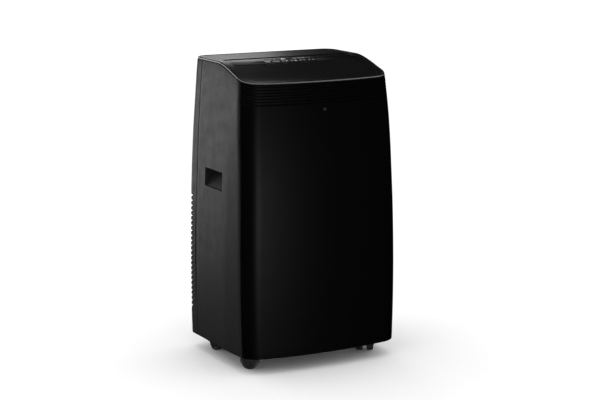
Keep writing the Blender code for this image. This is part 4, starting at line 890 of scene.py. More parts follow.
class COOLER_OT_front_panel(bpy.types.Operator):
    """Build the bowed front wall, with its grooves and its small sensor mark"""
    bl_idname = "cooler.front_panel"
    bl_label = "Front Panel"

    def execute(self, context):
        look = context.scene.cooler_shape
        shape = (FIRST_GROOVE, look.groove_pitch, look.groove_width, look.groove_depth)
        edge = SEAM_TURN - SEAM / 2 / (CORNER_RADIUS * 1.2)
        turn = ROUND / (CORNER_RADIUS * 1.2)
        turns = reversed(edged(0, edge, 14, turn))
        left = [(("corner", -1, t), eased((edge - t) / turn * ROUND)) for t in turns if t > turn * 1.2]
        middle = [(("front", 0, t), 0.0) for t in spread(-1, 1, 61)]
        right = [(("corner", 1, s[2]), e) for s, e in reversed(left)]
        rings = [wall_section(s, e, look.grooves, shape) for s, e in left + middle + right]
        add_piece("front_panel_skin", ring_loft("front_panel_skin", rings), "chassis",
                  front_black(), ("front_panel",))
        dots = []
        for row in range(5):
            for column in range(5):
                if (row - 2) ** 2 + (column - 2) ** 2 > 5:
                    continue
                x, z = (column - 2) * 0.0016, look.sensor_height + (row - 2) * 0.0016
                share = math.asin(x / FRONT_RADIUS) / section(round(z, 6)).arc
                y = plan_point(("front", 0, share), z)[1]
                profile = [(0, -0.0003), (0.00042, -0.0003), (0.00052, 0.00005), (0, 0.00012)]
                dot = turned("dot", profile, (x, y + 0.00002, z), "Y", 10)
                dot.transform(Matrix.Translation((x, y, z)) @ Matrix.Diagonal((1, -1, 1, 1)) @
                              Matrix.Translation((-x, -y, -z)))
                dot.flip_normals()
                dots.append(dot)
        add_piece("sensor_dots", merged("sensor_dots", dots), "chassis", dim_print())
        return {"FINISHED"}


def pocket_cutter(name, side, low, high, wall):
    """The hand pocket's wedge: flush at its foot, deepest at its ceiling, with rounded corners."""
    face = section(round((POCKET_LOW + POCKET_HIGH) / 2, 6)).half
    outside = face + 0.010 if not wall else face - WALL / 2
    deep = face - POCKET_DEPTH - wall
    flush = face - WALL * 0.2
    points = [(side * outside, POCKET_LOW - wall * 1.6, 0),
              (side * (flush - wall), POCKET_LOW - wall * 1.6, 0.004),
              (side * deep, POCKET_HIGH - 0.008, 0.006), (side * deep, POCKET_HIGH + wall, 0.002),
              (side * outside, POCKET_HIGH + wall, 0)]
    outline = rounded(points, 0.004, 5)
    rings = []
    for y in (low, high):
        rings.append([(u, y, v) for u, v in outline])
    return ring_loft(name, rings)


class COOLER_OT_side_panels(bpy.types.Operator):
    """Build both side walls, each with its crease and its hand pocket"""
    bl_idname = "cooler.side_panels"
    bl_label = "Side Panels"

    def execute(self, context):
        seam = REAR_Y - REAR_PANEL_WRAP - SEAM / 2
        start = SEAM_TURN + SEAM / 2 / (CORNER_RADIUS * 1.2)
        turn = ROUND / (CORNER_RADIUS * 1.2)
        low, high = FRONT_Y + POCKET_FROM_FRONT, FRONT_Y + POCKET_FROM_FRONT + POCKET_LENGTH
        for side, name in ((-1, "left"), (1, "right")):
            turns = [t for t in edged(start, 1, 16, turn) if t < 1 - turn * 1.2]
            stations = [(("corner", side, t), eased((t - start) / turn * ROUND)) for t in turns]
            stations += [(("corner", side, 1), 0.0)]
            stations += [(("between", side, t), 0.0) for t in spread(0, 1, 9)[1:-1]]
            stations += [(("crease", side, 0), 0.0)]
            ys = [y for y in edged(FRONT_Y + 0.1365, seam, 16) if y > FRONT_Y + 0.1365 + ROUND * 0.8]
            stations += [(("side", side, FRONT_Y + 0.1365), 0.0)]
            stations += [(("side", side, y), eased(seam - y)) for y in ys]
            rings = [wall_section(s, e, 0, None) for s, e in stations]
            wall = ring_loft(f"{name}_wall", rings)
            tub = pocket_cutter("tub", side, low - WALL, high + WALL, WALL)
            hollow = pocket_cutter("hollow", side, low, high, 0.0)
            wall = carved(wall, [tub], "UNION")
            wall = carved(wall, [hollow], "DIFFERENCE")
            add_piece(f"{name}_side_skin", wall, "chassis", casing_black(),
                      (f"{name}_side_panel",))
        return {"FINISHED"}


def rear_walk(edge):
    """Stations round the back from the left seam to the right one, with how far each lies from the seam."""
    last = REAR_Y - REAR_RADIUS
    ys = [y for y in edged(edge, last, 7) if y < last - ROUND * 0.8]
    left = [(("side", -1, y), y - edge) for y in ys]
    left += [(("rear_corner", -1, t), 1.0) for t in spread(0, 1, 13)]
    return left


class COOLER_OT_rear_housing(bpy.types.Operator):
    """Build the back moulding round its louvres, its intake and its hose port, with its screws"""
    bl_idname = "cooler.rear_housing"
    bl_label = "Rear Housing"

    def execute(self, context):
        seam = REAR_Y - REAR_PANEL_WRAP + SEAM / 2
        left = rear_walk(seam)
        right = [((s[0], 1, s[2]), d) for s, d in reversed(left)]
        middle = [(("rear_x", 0, x), 1.0) for x in spread(-INTAKE_HALF, INTAKE_HALF, 13)]
        stations = left + middle + right
        top = HEIGHT - PANEL_DROP
        levels = [SKIRT + e for e in (0, 0.0004, 0.0012, 0.003)]
        levels += spread(SKIRT + 0.003, LOUVRE_LOW - LOUVRE_POST - GAP, 5)[1:]
        levels += spread(LOUVRE_HIGH + LOUVRE_POST + GAP, INTAKE_LOW, 14)
        levels += [INTAKE_HIGH] + spread(INTAKE_HIGH, top - ROUND, 4)[1:]
        levels += [top - ROUND * 0.38, top - ROUND * 0.12, top]
        opening = levels.index(LOUVRE_LOW - LOUVRE_POST - GAP)
        intake = levels.index(INTAKE_LOW)
        first_x, last_x = len(left), len(left) + len(middle) - 1
        post = next(i for i, (s, d) in enumerate(left) if s[0] == "rear_corner") - 1

        def inset(z, distance):
            return eased(distance) + eased(top - z) + eased(z - SKIRT)
        outer = [[Vector((*plan_point(s, z, inset(z, d)), z)) for z in levels] for s, d in stations]
        inner = [[Vector((*plan_point(s, z, WALL), z)) for z in levels] for s, d in stations]

        def solid(i, j):
            in_louvres = j == opening and post <= i < len(stations) - 1 - post
            in_intake = j == intake and first_x <= i < last_x
            return not in_louvres and not in_intake
        wall = thick_sheet("rear_wall", outer, inner, solid)
        port = PORT_RADIUS + PORT_WALL + GAP
        profile = [(0, -0.03), (port, -0.03), (port, 0.03), (0, 0.03)]
        holes = [turned("port", profile, (0, REAR_Y, PORT_HEIGHT), "Y", 96)]
        for node in ("drain_cap_lower", "drain_cap_upper", "cord_gland"):
            a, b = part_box(node)
            radius = (0.009 if node == "cord_gland" else 0.006) + GAP
            centre = ((a.x + b.x) / 2, REAR_Y, (a.z + b.z) / 2)
            profile = [(0, -0.03), (radius, -0.03), (radius, 0.03), (0, 0.03)]
            holes.append(turned(node, profile, centre, "Y", 32))
        wall = carved(wall, holes)
        add_piece("rear_skin", wall, "chassis", casing_black(), ("rear_housing",))
        self.screws()
        return {"FINISHED"}

    def screws(self):
        """Screws in the flat of the back, where the moulding is fixed to the base, the deck and the top."""
        places = [(x, z) for z in (0.066, 0.412, 0.532, 0.692) for x in (-0.160, 0.160)]
        places += [(x, 0.692) for x in (-0.055, 0.055)]
        points = [Vector((x, plan_point(("rear_x", 0, x), z)[1] - 0.0003, z)) for x, z in places]
        base = bpy.data.meshes.new("screw_places")
        base.from_pydata([tuple(p) for p in points], [], [])
        tree, ids = screw_tree()
        look = bpy.context.scene.cooler_shape
        mesh = grown("rear_screws", base, tree, ids, {"Radius": look.screw_radius, "Head": 0.0018, "Seed": 4,
                                                     "Material": steel()})
        add_piece("rear_screws", mesh, "chassis", steel())


class COOLER_OT_condenser_grille(bpy.types.Operator):
    """Build the louvred grille that wraps both rear corners"""
    bl_idname = "cooler.condenser_grille"
    bl_label = "Condenser Grille"

    def execute(self, context):
        look = context.scene.cooler_shape
        edge = LOUVRE_EDGE
        left = rear_walk(edge)
        right = [((s[0], 1, s[2]), d) for s, d in reversed(left)]
        middle = [(("rear_x", 0, x), 1.0) for x in spread(-0.15, 0.15, 11)]
        walk = [s for s, _ in left + middle + right]
        low, high = LOUVRE_LOW - LOUVRE_POST, LOUVRE_HIGH + LOUVRE_POST
        count = round((LOUVRE_HIGH - LOUVRE_LOW) / look.louvre_pitch)
        pitch = (LOUVRE_HIGH - LOUVRE_LOW) / count
        rails = []
        inset = 0.0003
        for a, b in ((low, LOUVRE_LOW + 0.0020), (LOUVRE_HIGH - 0.0020, high)):
            levels = edged(a, b, 3, 0.0006)
            rails.append(self.band(walk, levels, inset, a, b))
        for side in (-1, 1):
            ys = edged(edge, edge + LOUVRE_POST, 3, 0.0006)
            rails.append(self.post([("side", side, y) for y in ys], low, high, inset))
        for x in (-0.055, 0.055):
            xs = edged(x - LOUVRE_POST / 2, x + LOUVRE_POST / 2, 3, 0.0006)
            rails.append(self.post([("rear_x", 0, v) for v in xs], low, high, inset))
        points, edges = [], []
        for k in range(count):
            z = LOUVRE_LOW + k * pitch
            if k == 0:
                continue
            first = len(points)
            sunk = inset + look.slat_depth / 2 + 0.0001
            points += [Vector((*plan_point(s, z, sunk), z)) for s in walk[1:-1]]
            edges += [(i, i + 1) for i in range(first, len(points) - 1)]
        base = bpy.data.meshes.new("louvre_lines")
        base.from_pydata([tuple(p) for p in points], edges, [])
        tree, ids = slat_tree()
        slats = grown("louvre_slats", base, tree, ids, {
            "Depth": look.slat_depth, "Height": pitch - look.louvre_gap, "Lean": look.slat_lean,
            "Corner": 0.0008,
            "Material": casing_black()}, 40)
        grille = merged("condenser_grille_skin", rails + [slats], 40)
        add_piece("condenser_grille_skin", grille, "chassis", casing_black(),
                  ("condenser_grille",))
        return {"FINISHED"}

    def band(self, walk, levels, inset, a, b):
        outer = [[Vector((*plan_point(s, z, inset + eased(z - a, 0.0006) + eased(b - z, 0.0006)), z))
                  for z in levels] for s in walk]
        inner = [[Vector((*plan_point(s, z, inset + WALL), z)) for z in levels] for s in walk]
        return thick_sheet("rail", outer, inner)

    def post(self, stations, low, high, inset):
        levels = spread(low + 0.0003, high - 0.0003, 12)
        last = len(stations) - 1

        def shrink(i):
            return 0.0 if 1 < i < last - 1 else 0.0003
        outer = [[Vector((*plan_point(s, z, inset + shrink(i) + 0.0001), z)) for z in levels]
                 for i, s in enumerate(stations)]
        inner = [[Vector((*plan_point(s, z, inset + WALL * 1.4), z)) for z in levels] for s in stations]
        return thick_sheet("post", outer, inner)


# ------------------------------------------------------------------ the top
def recess_point(station, inset):
    """Where a station of the outline maps to on the rounded rectangle of the top's recess."""
    kind, side, value = station
    front = FRONT_Y + RECESS_FROM_FRONT + inset
    rear = FRONT_Y + RECESS_FROM_FRONT + RECESS_DEPTH - inset
    half = RECESS_HALF - inset
    radius = RECESS_RADIUS - inset
    back_radius = RECESS_RADIUS * 0.4 - inset
    if kind == "front":
        return value * (half - radius), front
    if kind == "corner":
        angle = value * math.pi / 2
        return side * (half - radius + radius * math.sin(angle)), front + radius - radius * math.cos(angle)
    if kind == "along":
        return side * half, front + radius + value * (rear - back_radius - front - radius)
    if kind == "rear_corner":
        angle = value * math.pi / 2
        centre = half - back_radius
        return side * (centre + back_radius * math.cos(angle)), rear - back_radius * (1 - math.sin(angle))
    return value * (half - back_radius), rear


def top_stations(fine=1.0):
    front, corner, along, rear = (max(5, int(n * fine)) for n in (45, 17, 37, 9))
    path = [("front", 0, t) for t in spread(-1, 1, front)[1:-1]]
    path += [("corner", 1, t) for t in spread(0, 1, corner)]
    path += [("along", 1, t) for t in spread(0, 1, along)[1:-1]]
    path += [("rear_corner", 1, t) for t in spread(0, 1, corner)]
    path += [("rear", 0, t) for t in spread(1, -1, rear)[1:-1]]
    path += [("rear_corner", -1, t) for t in spread(1, 0, corner)]
    path += [("along", -1, t) for t in spread(1, 0, along)[1:-1]]
    path += [("corner", -1, t) for t in spread(1, 0, corner)]
    return path


def cover_section(station):
    """A section through the top cover: its rounded rim, its sunk surface, the recess and the ledge in it."""
    surface, under = COVER_SURFACE, COVER_SURFACE + COVER_WALL

    def recess(inset, drop):
        x, y = recess_point(station, inset)
        return Vector((x, y, rim_height(y) - drop))

    def between(share, drop):
        outer, inner = rim_point(station, 0.008, surface), recess(-COVER_WALL, surface)
        x, y = outer.xy.lerp(inner.xy, share)
        return Vector((x, y, rim_height(y) - drop))
    ledge = RECESS_SINK + surface + STRIP_WALL + GAP
    skirt = WALL + GAP + 0.0006
    curve = 0.0018
    ring = [rim_point(station, COVER_INSET, COVER_EDGE)]
    for a in spread(0, 90, 7):
        turn = math.radians(a)
        ring.append(rim_point(station, COVER_INSET + curve * (1 - math.cos(turn)),
                              curve * (1 - math.sin(turn))))
    ring += [rim_point(station, 0.0046, 0.0), rim_point(station, 0.0050, 0.00006),
             rim_point(station, 0.0058, 0.0005),
             rim_point(station, 0.0066, 0.00094), rim_point(station, 0.0072, surface)]
    ring += [between(t, surface) for t in (0.15, 0.35, 0.55, 0.75, 0.92)]
    ring += [recess(-0.0008, surface), recess(-0.0003, surface + 0.00006),
             recess(-0.00006, surface + 0.0003),
             recess(0, surface + 0.0008), recess(0, ledge), recess(LEDGE, ledge),
             recess(LEDGE, ledge + COVER_WALL),
             recess(-COVER_WALL, ledge + COVER_WALL), recess(-COVER_WALL, under),
             between(0.7, under), between(0.35, under), rim_point(station, skirt + 0.002, under),
             rim_point(station, skirt + 0.002, 0.014), rim_point(station, skirt, 0.014),
             rim_point(station, skirt, COVER_EDGE)]
    return ring


class COOLER_OT_top_cover(bpy.types.Operator):
    """Build the top cover, with the rounded rim that runs all the way round it, and a grey band along the rim
    that is a painted highlight
    """
    bl_idname = "cooler.top_cover"
    bl_label = "Top Cover"

    def execute(self, context):
        rings = [cover_section(s) for s in top_stations()]
        mesh = ring_loft("cover", rings, closed=True, capped=False)
        add_piece("top_cover_skin", mesh, "chassis", top_black(), ("top_cover",))
        # The grey band round the rim is a painted highlight: a lighter colour put where the rim's edge
        # catches the light.
        band = ((-0.0004, 0.0036), (-0.0006, 0.0033), (-0.0006, 0.0017), (-0.0003, 0.0013), (0.0006, 0.0011),
                (0.0006, 0.0038))
        rings = [[rim_point(s, COVER_INSET + out, drop) for out, drop in band] for s in top_stations()]
        mesh = ring_loft("rim_highlight_loft", rings, closed=True, capped=False)
        add_piece("rim_highlight_band", mesh, "chassis", rim_highlight_grey())
        return {"FINISHED"}


def recess_cutter(gap):
    outline = [recess_point(s, gap) for s in top_stations(0.5)]
    return extruded("recess", outline, HEIGHT - LIP_DROP - 0.05, HEIGHT + 0.02, "Z")


def strip_outline(wall, drop=0.0, steps=25):
    """The (y, z) outline of a slab that follows the top's curve over the control strip."""
    front = FRONT_Y + STRIP_FROM_FRONT
    rear = FRONT_Y + RECESS_FROM_FRONT + RECESS_DEPTH + 0.002
    top = [(y, rim_height(y) - RECESS_DROP - drop) for y in spread(front, rear, steps)]
    return top + [(y, z - wall) for y, z in reversed(top)]


def key_outline(k, grow):
    x = KEY_CENTRE_X + (k - (len(KEY_NAMES) - 1) / 2) * KEY_PITCH
    half = KEY_PITCH / 2 - 0.0007 + grow
    deep = KEY_LENGTH / 2 + grow
    return [(x - half - KEY_SLANT / 2, KEY_Y - deep), (x + half - KEY_SLANT / 2, KEY_Y - deep),
            (x + half + KEY_SLANT / 2, KEY_Y + deep), (x - half + KEY_SLANT / 2, KEY_Y + deep)]


def window_outline(grow):
    u, v = WINDOW_WIDTH / 2 + grow, WINDOW_LENGTH / 2 + grow
    x, y = WINDOW_X, WINDOW_Y
    return [(x - u, y - v), (x + u, y - v), (x + u, y + v), (x - u, y + v)]


def surface_mark(outline):
    """A printed mark: a thin slab that follows the top's curve above the strip's surface."""
    xs = [p[0] for p in outline]
    centre = sum(xs) / len(xs), sum(p[1] for p in outline) / len(outline)
    rings = []
    for grow, up in ((1.0, -MARK_SUNK), (1.0, MARK_HIGH * 0.6), (0.97, MARK_HIGH)):
        rings.append([(centre[0] + (x - centre[0]) * grow, centre[1] + (y - centre[1]) * grow,
                       rim_height(y) - RECESS_DROP + up) for x, y in outline])
    return ring_loft("mark", rings, sharp=50)


def bar_mark(x, y, length, width, turn=0.0):
    c, s = math.cos(turn), math.sin(turn)
    corners = [(-length / 2, -width / 2), (length / 2, -width / 2), (length / 2, width / 2),
               (-length / 2, width / 2)]
    return surface_mark([(x + u * c - v * s, y + u * s + v * c) for u, v in corners])


def arc_mark(x, y, radius, width, start=0.0, end=2 * math.pi, steps=24):
    """A ring or part of one."""
    whole = end - start > 2 * math.pi - 0.01
    angles = spread(start, end, steps)
    if whole:
        angles = angles[:-1]
    bars = []
    for a in angles:
        outer, inner = radius + width / 2, radius - width / 2
        bars.append([(x + r * math.cos(a), y + r * math.sin(a)) for r in (inner, outer)])
    rings = []
    for p, q in bars:
        rings.append([(p[0], p[1], rim_height(p[1]) - RECESS_DROP - MARK_SUNK),
                      (q[0], q[1], rim_height(q[1]) - RECESS_DROP - MARK_SUNK),
                      (q[0], q[1], rim_height(q[1]) - RECESS_DROP + MARK_HIGH),
                      (p[0], p[1], rim_height(p[1]) - RECESS_DROP + MARK_HIGH)])
    return ring_loft("arc", rings, closed=whole, sharp=50)


def icon(kind, x, y, size):
    """The strokes of a plain function symbol, as printed on the keys and the strip."""
    w = size * 0.16
    if kind == "power":
        return [arc_mark(x, y, size * 0.40, w, math.radians(125), math.radians(415), 18),
                bar_mark(x, y + size * 0.34, w, size * 0.46)]
    if kind == "mode":
        return [arc_mark(x, y, size * 0.42, w, math.radians(20), math.radians(160), 10),
                arc_mark(x, y, size * 0.42, w, math.radians(200), math.radians(340), 10),
                bar_mark(x - size * 0.46, y + size * 0.14, size * 0.26, w, math.radians(50)),
                bar_mark(x + size * 0.46, y - size * 0.14, size * 0.26, w, math.radians(50))]
    if kind == "fan":
        marks = [arc_mark(x, y, size * 0.10, w * 0.9, steps=10)]
        for k in range(3):
            a = math.radians(90 + 120 * k)
            marks.append(arc_mark(x + size * 0.32 * math.cos(a), y + size * 0.32 * math.sin(a), size * 0.15,
                                  w * 0.8, steps=12))
        return marks
    if kind == "timer":
        return [arc_mark(x, y, size * 0.44, w, steps=22), bar_mark(x, y + size * 0.12, w * 0.8, size * 0.28),
                bar_mark(x + size * 0.10, y, size * 0.26, w * 0.8)]
    if kind in ("down", "up"):
        turn = 1 if kind == "up" else -1
        return [bar_mark(x - size * 0.18, y, size * 0.56, w, turn * math.radians(45)),
                bar_mark(x + size * 0.18, y, size * 0.56, w, -turn * math.radians(45))]
    if kind == "drop":
        return [arc_mark(x, y - size * 0.1, size * 0.30, w, math.radians(150), math.radians(390), 14),
                bar_mark(x - size * 0.13, y + size * 0.22, w, size * 0.44, math.radians(-28)),
                bar_mark(x + size * 0.13, y + size * 0.22, w, size * 0.44, math.radians(28))]
    if kind == "flake":
        return [bar_mark(x, y, size * 0.92, w * 0.8, math.radians(a)) for a in (0, 60, 120)]
    return [bar_mark(x, y, size * 0.7, w)]


class COOLER_OT_control_strip(bpy.types.Operator):
    """Build the curved control strip, its six keys, its display window and their printed marks"""
    bl_idname = "cooler.control_strip"
    bl_label = "Control Strip"

    def execute(self, context):
        look = context.scene.cooler_shape
        low, high = HEIGHT - LIP_DROP, HEIGHT + 0.01
        strip = extruded("strip", strip_outline(STRIP_WALL), -RECESS_HALF, RECESS_HALF, "X")
        strip = carved(strip, [recess_cutter(GAP)], "INTERSECT")
        holes = [extruded("hole", rounded(key_outline(k, 0.0001), 0.0012, 3), low, high, "Z")
                 for k in range(len(KEY_NAMES))]
        holes.append(extruded("hole", rounded(window_outline(0), 0.0010, 3), low, high, "Z"))
        strip = carved(strip, holes)
        strip = eased_edges(strip, 0.00035)
        add_piece("control_strip", strip, "chassis", top_black(), ("control_fascia",))
        xs = [KEY_CENTRE_X + (k - (len(KEY_NAMES) - 1) / 2) * KEY_PITCH for k in range(len(KEY_NAMES))]
        for k, name in enumerate(KEY_NAMES):
            outline = rounded(key_outline(k, -0.0003), 0.0011, 3)
            low_x, high_x = min(p[0] for p in outline), max(p[0] for p in outline)
            slab = extruded("key", strip_outline(STRIP_WALL, 0.0, 13), low_x - 0.001, high_x + 0.001, "X")
            key = carved(slab, [extruded("shape", outline, low, high, "Z")], "INTERSECT")
            key = eased_edges(key, 0.0004)
            foot_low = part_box(f"key_{name}")[0]
            top = rim_height(KEY_Y) - RECESS_DROP - STRIP_WALL - 0.0004
            foot = box_mesh("foot", (xs[k] - 0.003, KEY_Y - 0.003, foot_low.z),
                            (xs[k] + 0.003, KEY_Y + 0.003, top), 0.0003)
            body = f"key_{name}"
            add_piece(f"key_cap_{name}", merged("key", [key, foot]), body, key_black(),
                      (f"key_{name}",))
            marks = icon(name, xs[k], KEY_Y, look.icon_size)
            add_piece(f"key_print_{name}", merged("print", marks, 50), body, printed_grey())
        slab = extruded("window", strip_outline(STRIP_WALL - 0.0006, 0.0003), WINDOW_X - WINDOW_WIDTH / 2,
                        WINDOW_X + WINDOW_WIDTH / 2, "X")
        shape = extruded("shape", rounded(window_outline(-0.0003), 0.0009, 3), low, high, "Z")
        window = eased_edges(carved(slab, [shape], "INTERSECT"), 0.0003)
        add_piece("window_pane", window, "chassis", window_tint(), ("display_window",))
        self.prints(xs)
        return {"FINISHED"}

    def prints(self, xs):
        """The slashes between the keys and the small signs beside the display, which show what is on."""
        marks = []
        for k in range(len(xs) - 1):
            x = (xs[k] + xs[k + 1]) / 2
            marks.append(bar_mark(x + 0.0001, KEY_Y, 0.0007, KEY_LENGTH * 0.70,
                                  -math.atan2(KEY_SLANT, KEY_LENGTH)))
        rear = WINDOW_Y
        for kind, x, y, size in (("dash", -0.072, rear - 0.0005, 0.0042),
                                 ("dash", -0.065, rear + 0.0010, 0.0036),
                                 ("flake", -0.0515, rear, 0.0060), ("drop", -0.0405, rear, 0.0058),
                                 ("fan", 0.0270, rear, 0.0064), ("timer", 0.0355, rear, 0.0062),
                                 ("dash", 0.0455, rear - 0.0010, 0.0040),
                                 ("dash", 0.0540, rear + 0.0010, 0.0040)):
            marks += icon(kind, x, y, size)
        add_piece("strip_print", merged("print", marks, 50), "chassis", printed_grey())
        lamps = [turned("lamp", [(0, -0.0002), (0.0007, -0.0002), (0.0007, 0.0001), (0.0004, 0.00022),
                                 (0, 0.00026)],
                        (x, rear - 0.0062, rim_height(rear - 0.0062) - RECESS_DROP), "Z", 12)
                 for x in (-0.0515, -0.0405, 0.0270, 0.0355)]
        add_piece("strip_lamps", merged("lamps", lamps), "chassis", dim_print())


def flap_axis():
    """(y, z) of the outlet flap's hinge."""
    y = FRONT_Y + STRIP_FROM_FRONT - FLAP_ROLL - GAP
    return y, rim_height(y) - RECESS_DROP - FLAP_ROLL


class COOLER_OT_outlet_flap(bpy.types.Operator):
    """Build the creased lid of the air outlet, with its rolled back edge and its hinge pins"""
    bl_idname = "cooler.outlet_flap"
    bl_label = "Outlet Flap"

    def execute(self, context):
        y0, z0 = flap_axis()
        front = FRONT_Y + RECESS_FROM_FRONT - 0.002
        crease = FRONT_Y + FLAP_CREASE_FROM_FRONT
        top = [(y, rim_height(y) - RECESS_DROP) for y in spread(front, crease, 26)]
        ya, za = top[-1]
        roll = [(y0 + FLAP_ROLL * math.sin(a), z0 + FLAP_ROLL * math.cos(a))
                for a in spread(math.radians(-8), math.radians(180), 24)]
        yb, zb = y0, z0 + FLAP_ROLL
        neck = y0 - FLAP_ROLL - 0.0015
        under = [(neck, za + (zb - za) * (neck - ya) / (yb - ya) - FLAP_WALL)]
        under += [(y, rim_height(y) - RECESS_DROP - FLAP_WALL) for y in spread(crease, front, 16)]
        blade = extruded("flap", top + roll + under, -RECESS_HALF, RECESS_HALF, "X", sharp=12)
        clear = RECESS_HALF - LEDGE - GAP
        notches = []
        for side in (-1, 1):
            ends = sorted((side * clear, side * (RECESS_HALF + 0.003)))
            notches.append(box_mesh("notch", (ends[0], y0 - 0.009, z0 - 0.010),
                                    (ends[1], y0 + 0.009, z0 + 0.010)))
        blade = carved(blade, [recess_cutter(GAP)], "INTERSECT", 12)
        blade = carved(blade, notches, "DIFFERENCE", 12)
        blade = eased_edges(blade, 0.0004, 2, 40, 12)
        pins = []
        for side in (-1, 1):
            a, b = sorted((side * (clear - 0.002), side * (RECESS_HALF + COVER_WALL - 0.0008)))
            pins.append(turned("pin", [(0, a), (0.0017, a), (0.002, a + 0.0003), (0.002, b - 0.0003),
                                       (0.0017, b), (0, b)], (0, y0, z0), "X", 24))
        add_piece("flap_blade", merged("flap", [blade, *pins], 12), "outlet_flap", top_black(),
                  ("outlet_flap",))
        return {"FINISHED"}


class COOLER_OT_air_outlet(bpy.types.Operator):
    """Build the guide vanes and their tie bar in the outlet duct"""
    bl_idname = "cooler.air_outlet"
    bl_label = "Air Outlet"

    def execute(self, context):
        duct = cleaned_node("outlet_duct", 0.0005)
        add_piece("duct_shell", duct, "chassis", casing_black(), ("outlet_duct",))
        for k in range(1, 7):
            vane = f"guide_vane_{k}"
            add_piece(f"vane_blade_{k}", cleaned_node(vane, 0.0004), vane, grey_moulding(), (vane,))
        bar = cleaned_node("vane_link", 0.0003)
        add_piece("vane_tie_bar", bar, "vane_link", grey_moulding(), ("vane_link",))
        return {"FINISHED"}


def cleaned_node(node, width, angle=35.0, sharp=32.0):
    """A copy of a frame node's solid, with its flat faces made whole and its edges eased."""
    source = frame["nodes"].get(node)
    if source is None:
        raise RuntimeError(f"the frame has no node {node}")
    mesh = source.data.copy()
    mesh.transform(source.matrix_world)
    work = bmesh.new()
    work.from_mesh(mesh)
    bmesh.ops.remove_doubles(work, verts=work.verts, dist=2e-6)
    bmesh.ops.dissolve_limit(work, angle_limit=math.radians(1.5), verts=work.verts, edges=work.edges)
    bmesh.ops.recalc_face_normals(work, faces=work.faces)
    work.to_mesh(mesh)
    work.free()
    return eased_edges(mesh, width, 2, angle, sharp)


# ------------------------------------------------------------------ rear fittings
class COOLER_OT_intake(bpy.types.Operator):
    """Build the upper intake's grille with the filter behind it"""
    bl_idname = "cooler.intake"
    bl_label = "Air Intake"

    def execute(self, context):
        look = context.scene.cooler_shape
        low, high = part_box("intake_grille")
        columns, rows = 4, 9
        column_pitch = (high.x - low.x - 0.006) / columns
        row_pitch = (high.z - low.z - 0.005) / rows
        rims = []
        for x in (low.x, high.x - 0.006):
            rims.append(box_mesh("post", (x, low.y, low.z), (x + 0.006, high.y, high.z), 0.0006))
        for z in (low.z, high.z - 0.005):
            rims.append(box_mesh("rail", (low.x + 0.001, low.y + 0.0001, z),
                                 (high.x - 0.001, high.y - 0.00003, z + 0.005), 0.0006))
        tree, ids = row_tree()
        posts = grown("posts", None, tree, ids, {
            "Start": (low.x + 0.003 + column_pitch, (low.y + high.y) / 2, (low.z + high.z) / 2),
            "Step": (column_pitch, 0, 0), "Count": columns - 1,
            "Size": (0.0056, high.y - low.y - 0.0002, high.z - low.z - 0.002), "Material": casing_black()})
        base = bpy.data.meshes.new("slat_lines")
        points, edges = [], []
        for k in range(1, rows):
            z = low.z + 0.0025 + k * row_pitch
            edges.append((len(points), len(points) + 1))
            y = (low.y + high.y) / 2
            points += [(low.x + 0.002, y, z), (high.x - 0.002, y, z)]
        base.from_pydata(points, edges, [])
        slats_tree, slat_ids = slat_tree()
        slats = grown("slats", base, slats_tree, slat_ids, {
            "Depth": (high.y - low.y) * 0.80, "Height": look.intake_slat, "Lean": 0.0006, "Corner": 0.0005,
            "Material": casing_black()}, 40)
        add_piece("intake_slats", merged("intake", [*rims, posts, slats], 40), "intake_filter",
                  casing_black(), ("intake_grille",))
        border = cleaned_node("filter_frame", 0.0003)
        add_piece("filter_border", border, "intake_filter", grey_moulding(),
                  ("filter_frame",))
        low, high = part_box("filter_mesh")
        middle_y = (low.y + high.y) / 2
        pitch = look.thread_pitch
        upright = grown("upright", None, tree, ids, {
            "Start": (low.x + 0.0003, middle_y + 0.0001, (low.z + high.z) / 2), "Step": (pitch, 0, 0),
            "Count": int((high.x - low.x) / pitch), "Size": (0.00045, 0.0003, high.z - low.z),
            "Material": filter_threads()})
        level = grown("level", None, tree, ids, {
            "Start": ((low.x + high.x) / 2, middle_y - 0.0001, low.z + 0.0003), "Step": (0, 0, pitch),
            "Count": int((high.z - low.z) / pitch), "Size": (high.x - low.x, 0.0003, 0.00045),
            "Material": filter_threads()})
        add_piece("filter_net", merged("net", [upright, level]), "intake_filter", filter_threads(),
                  ("filter_mesh",))
        return {"FINISHED"}


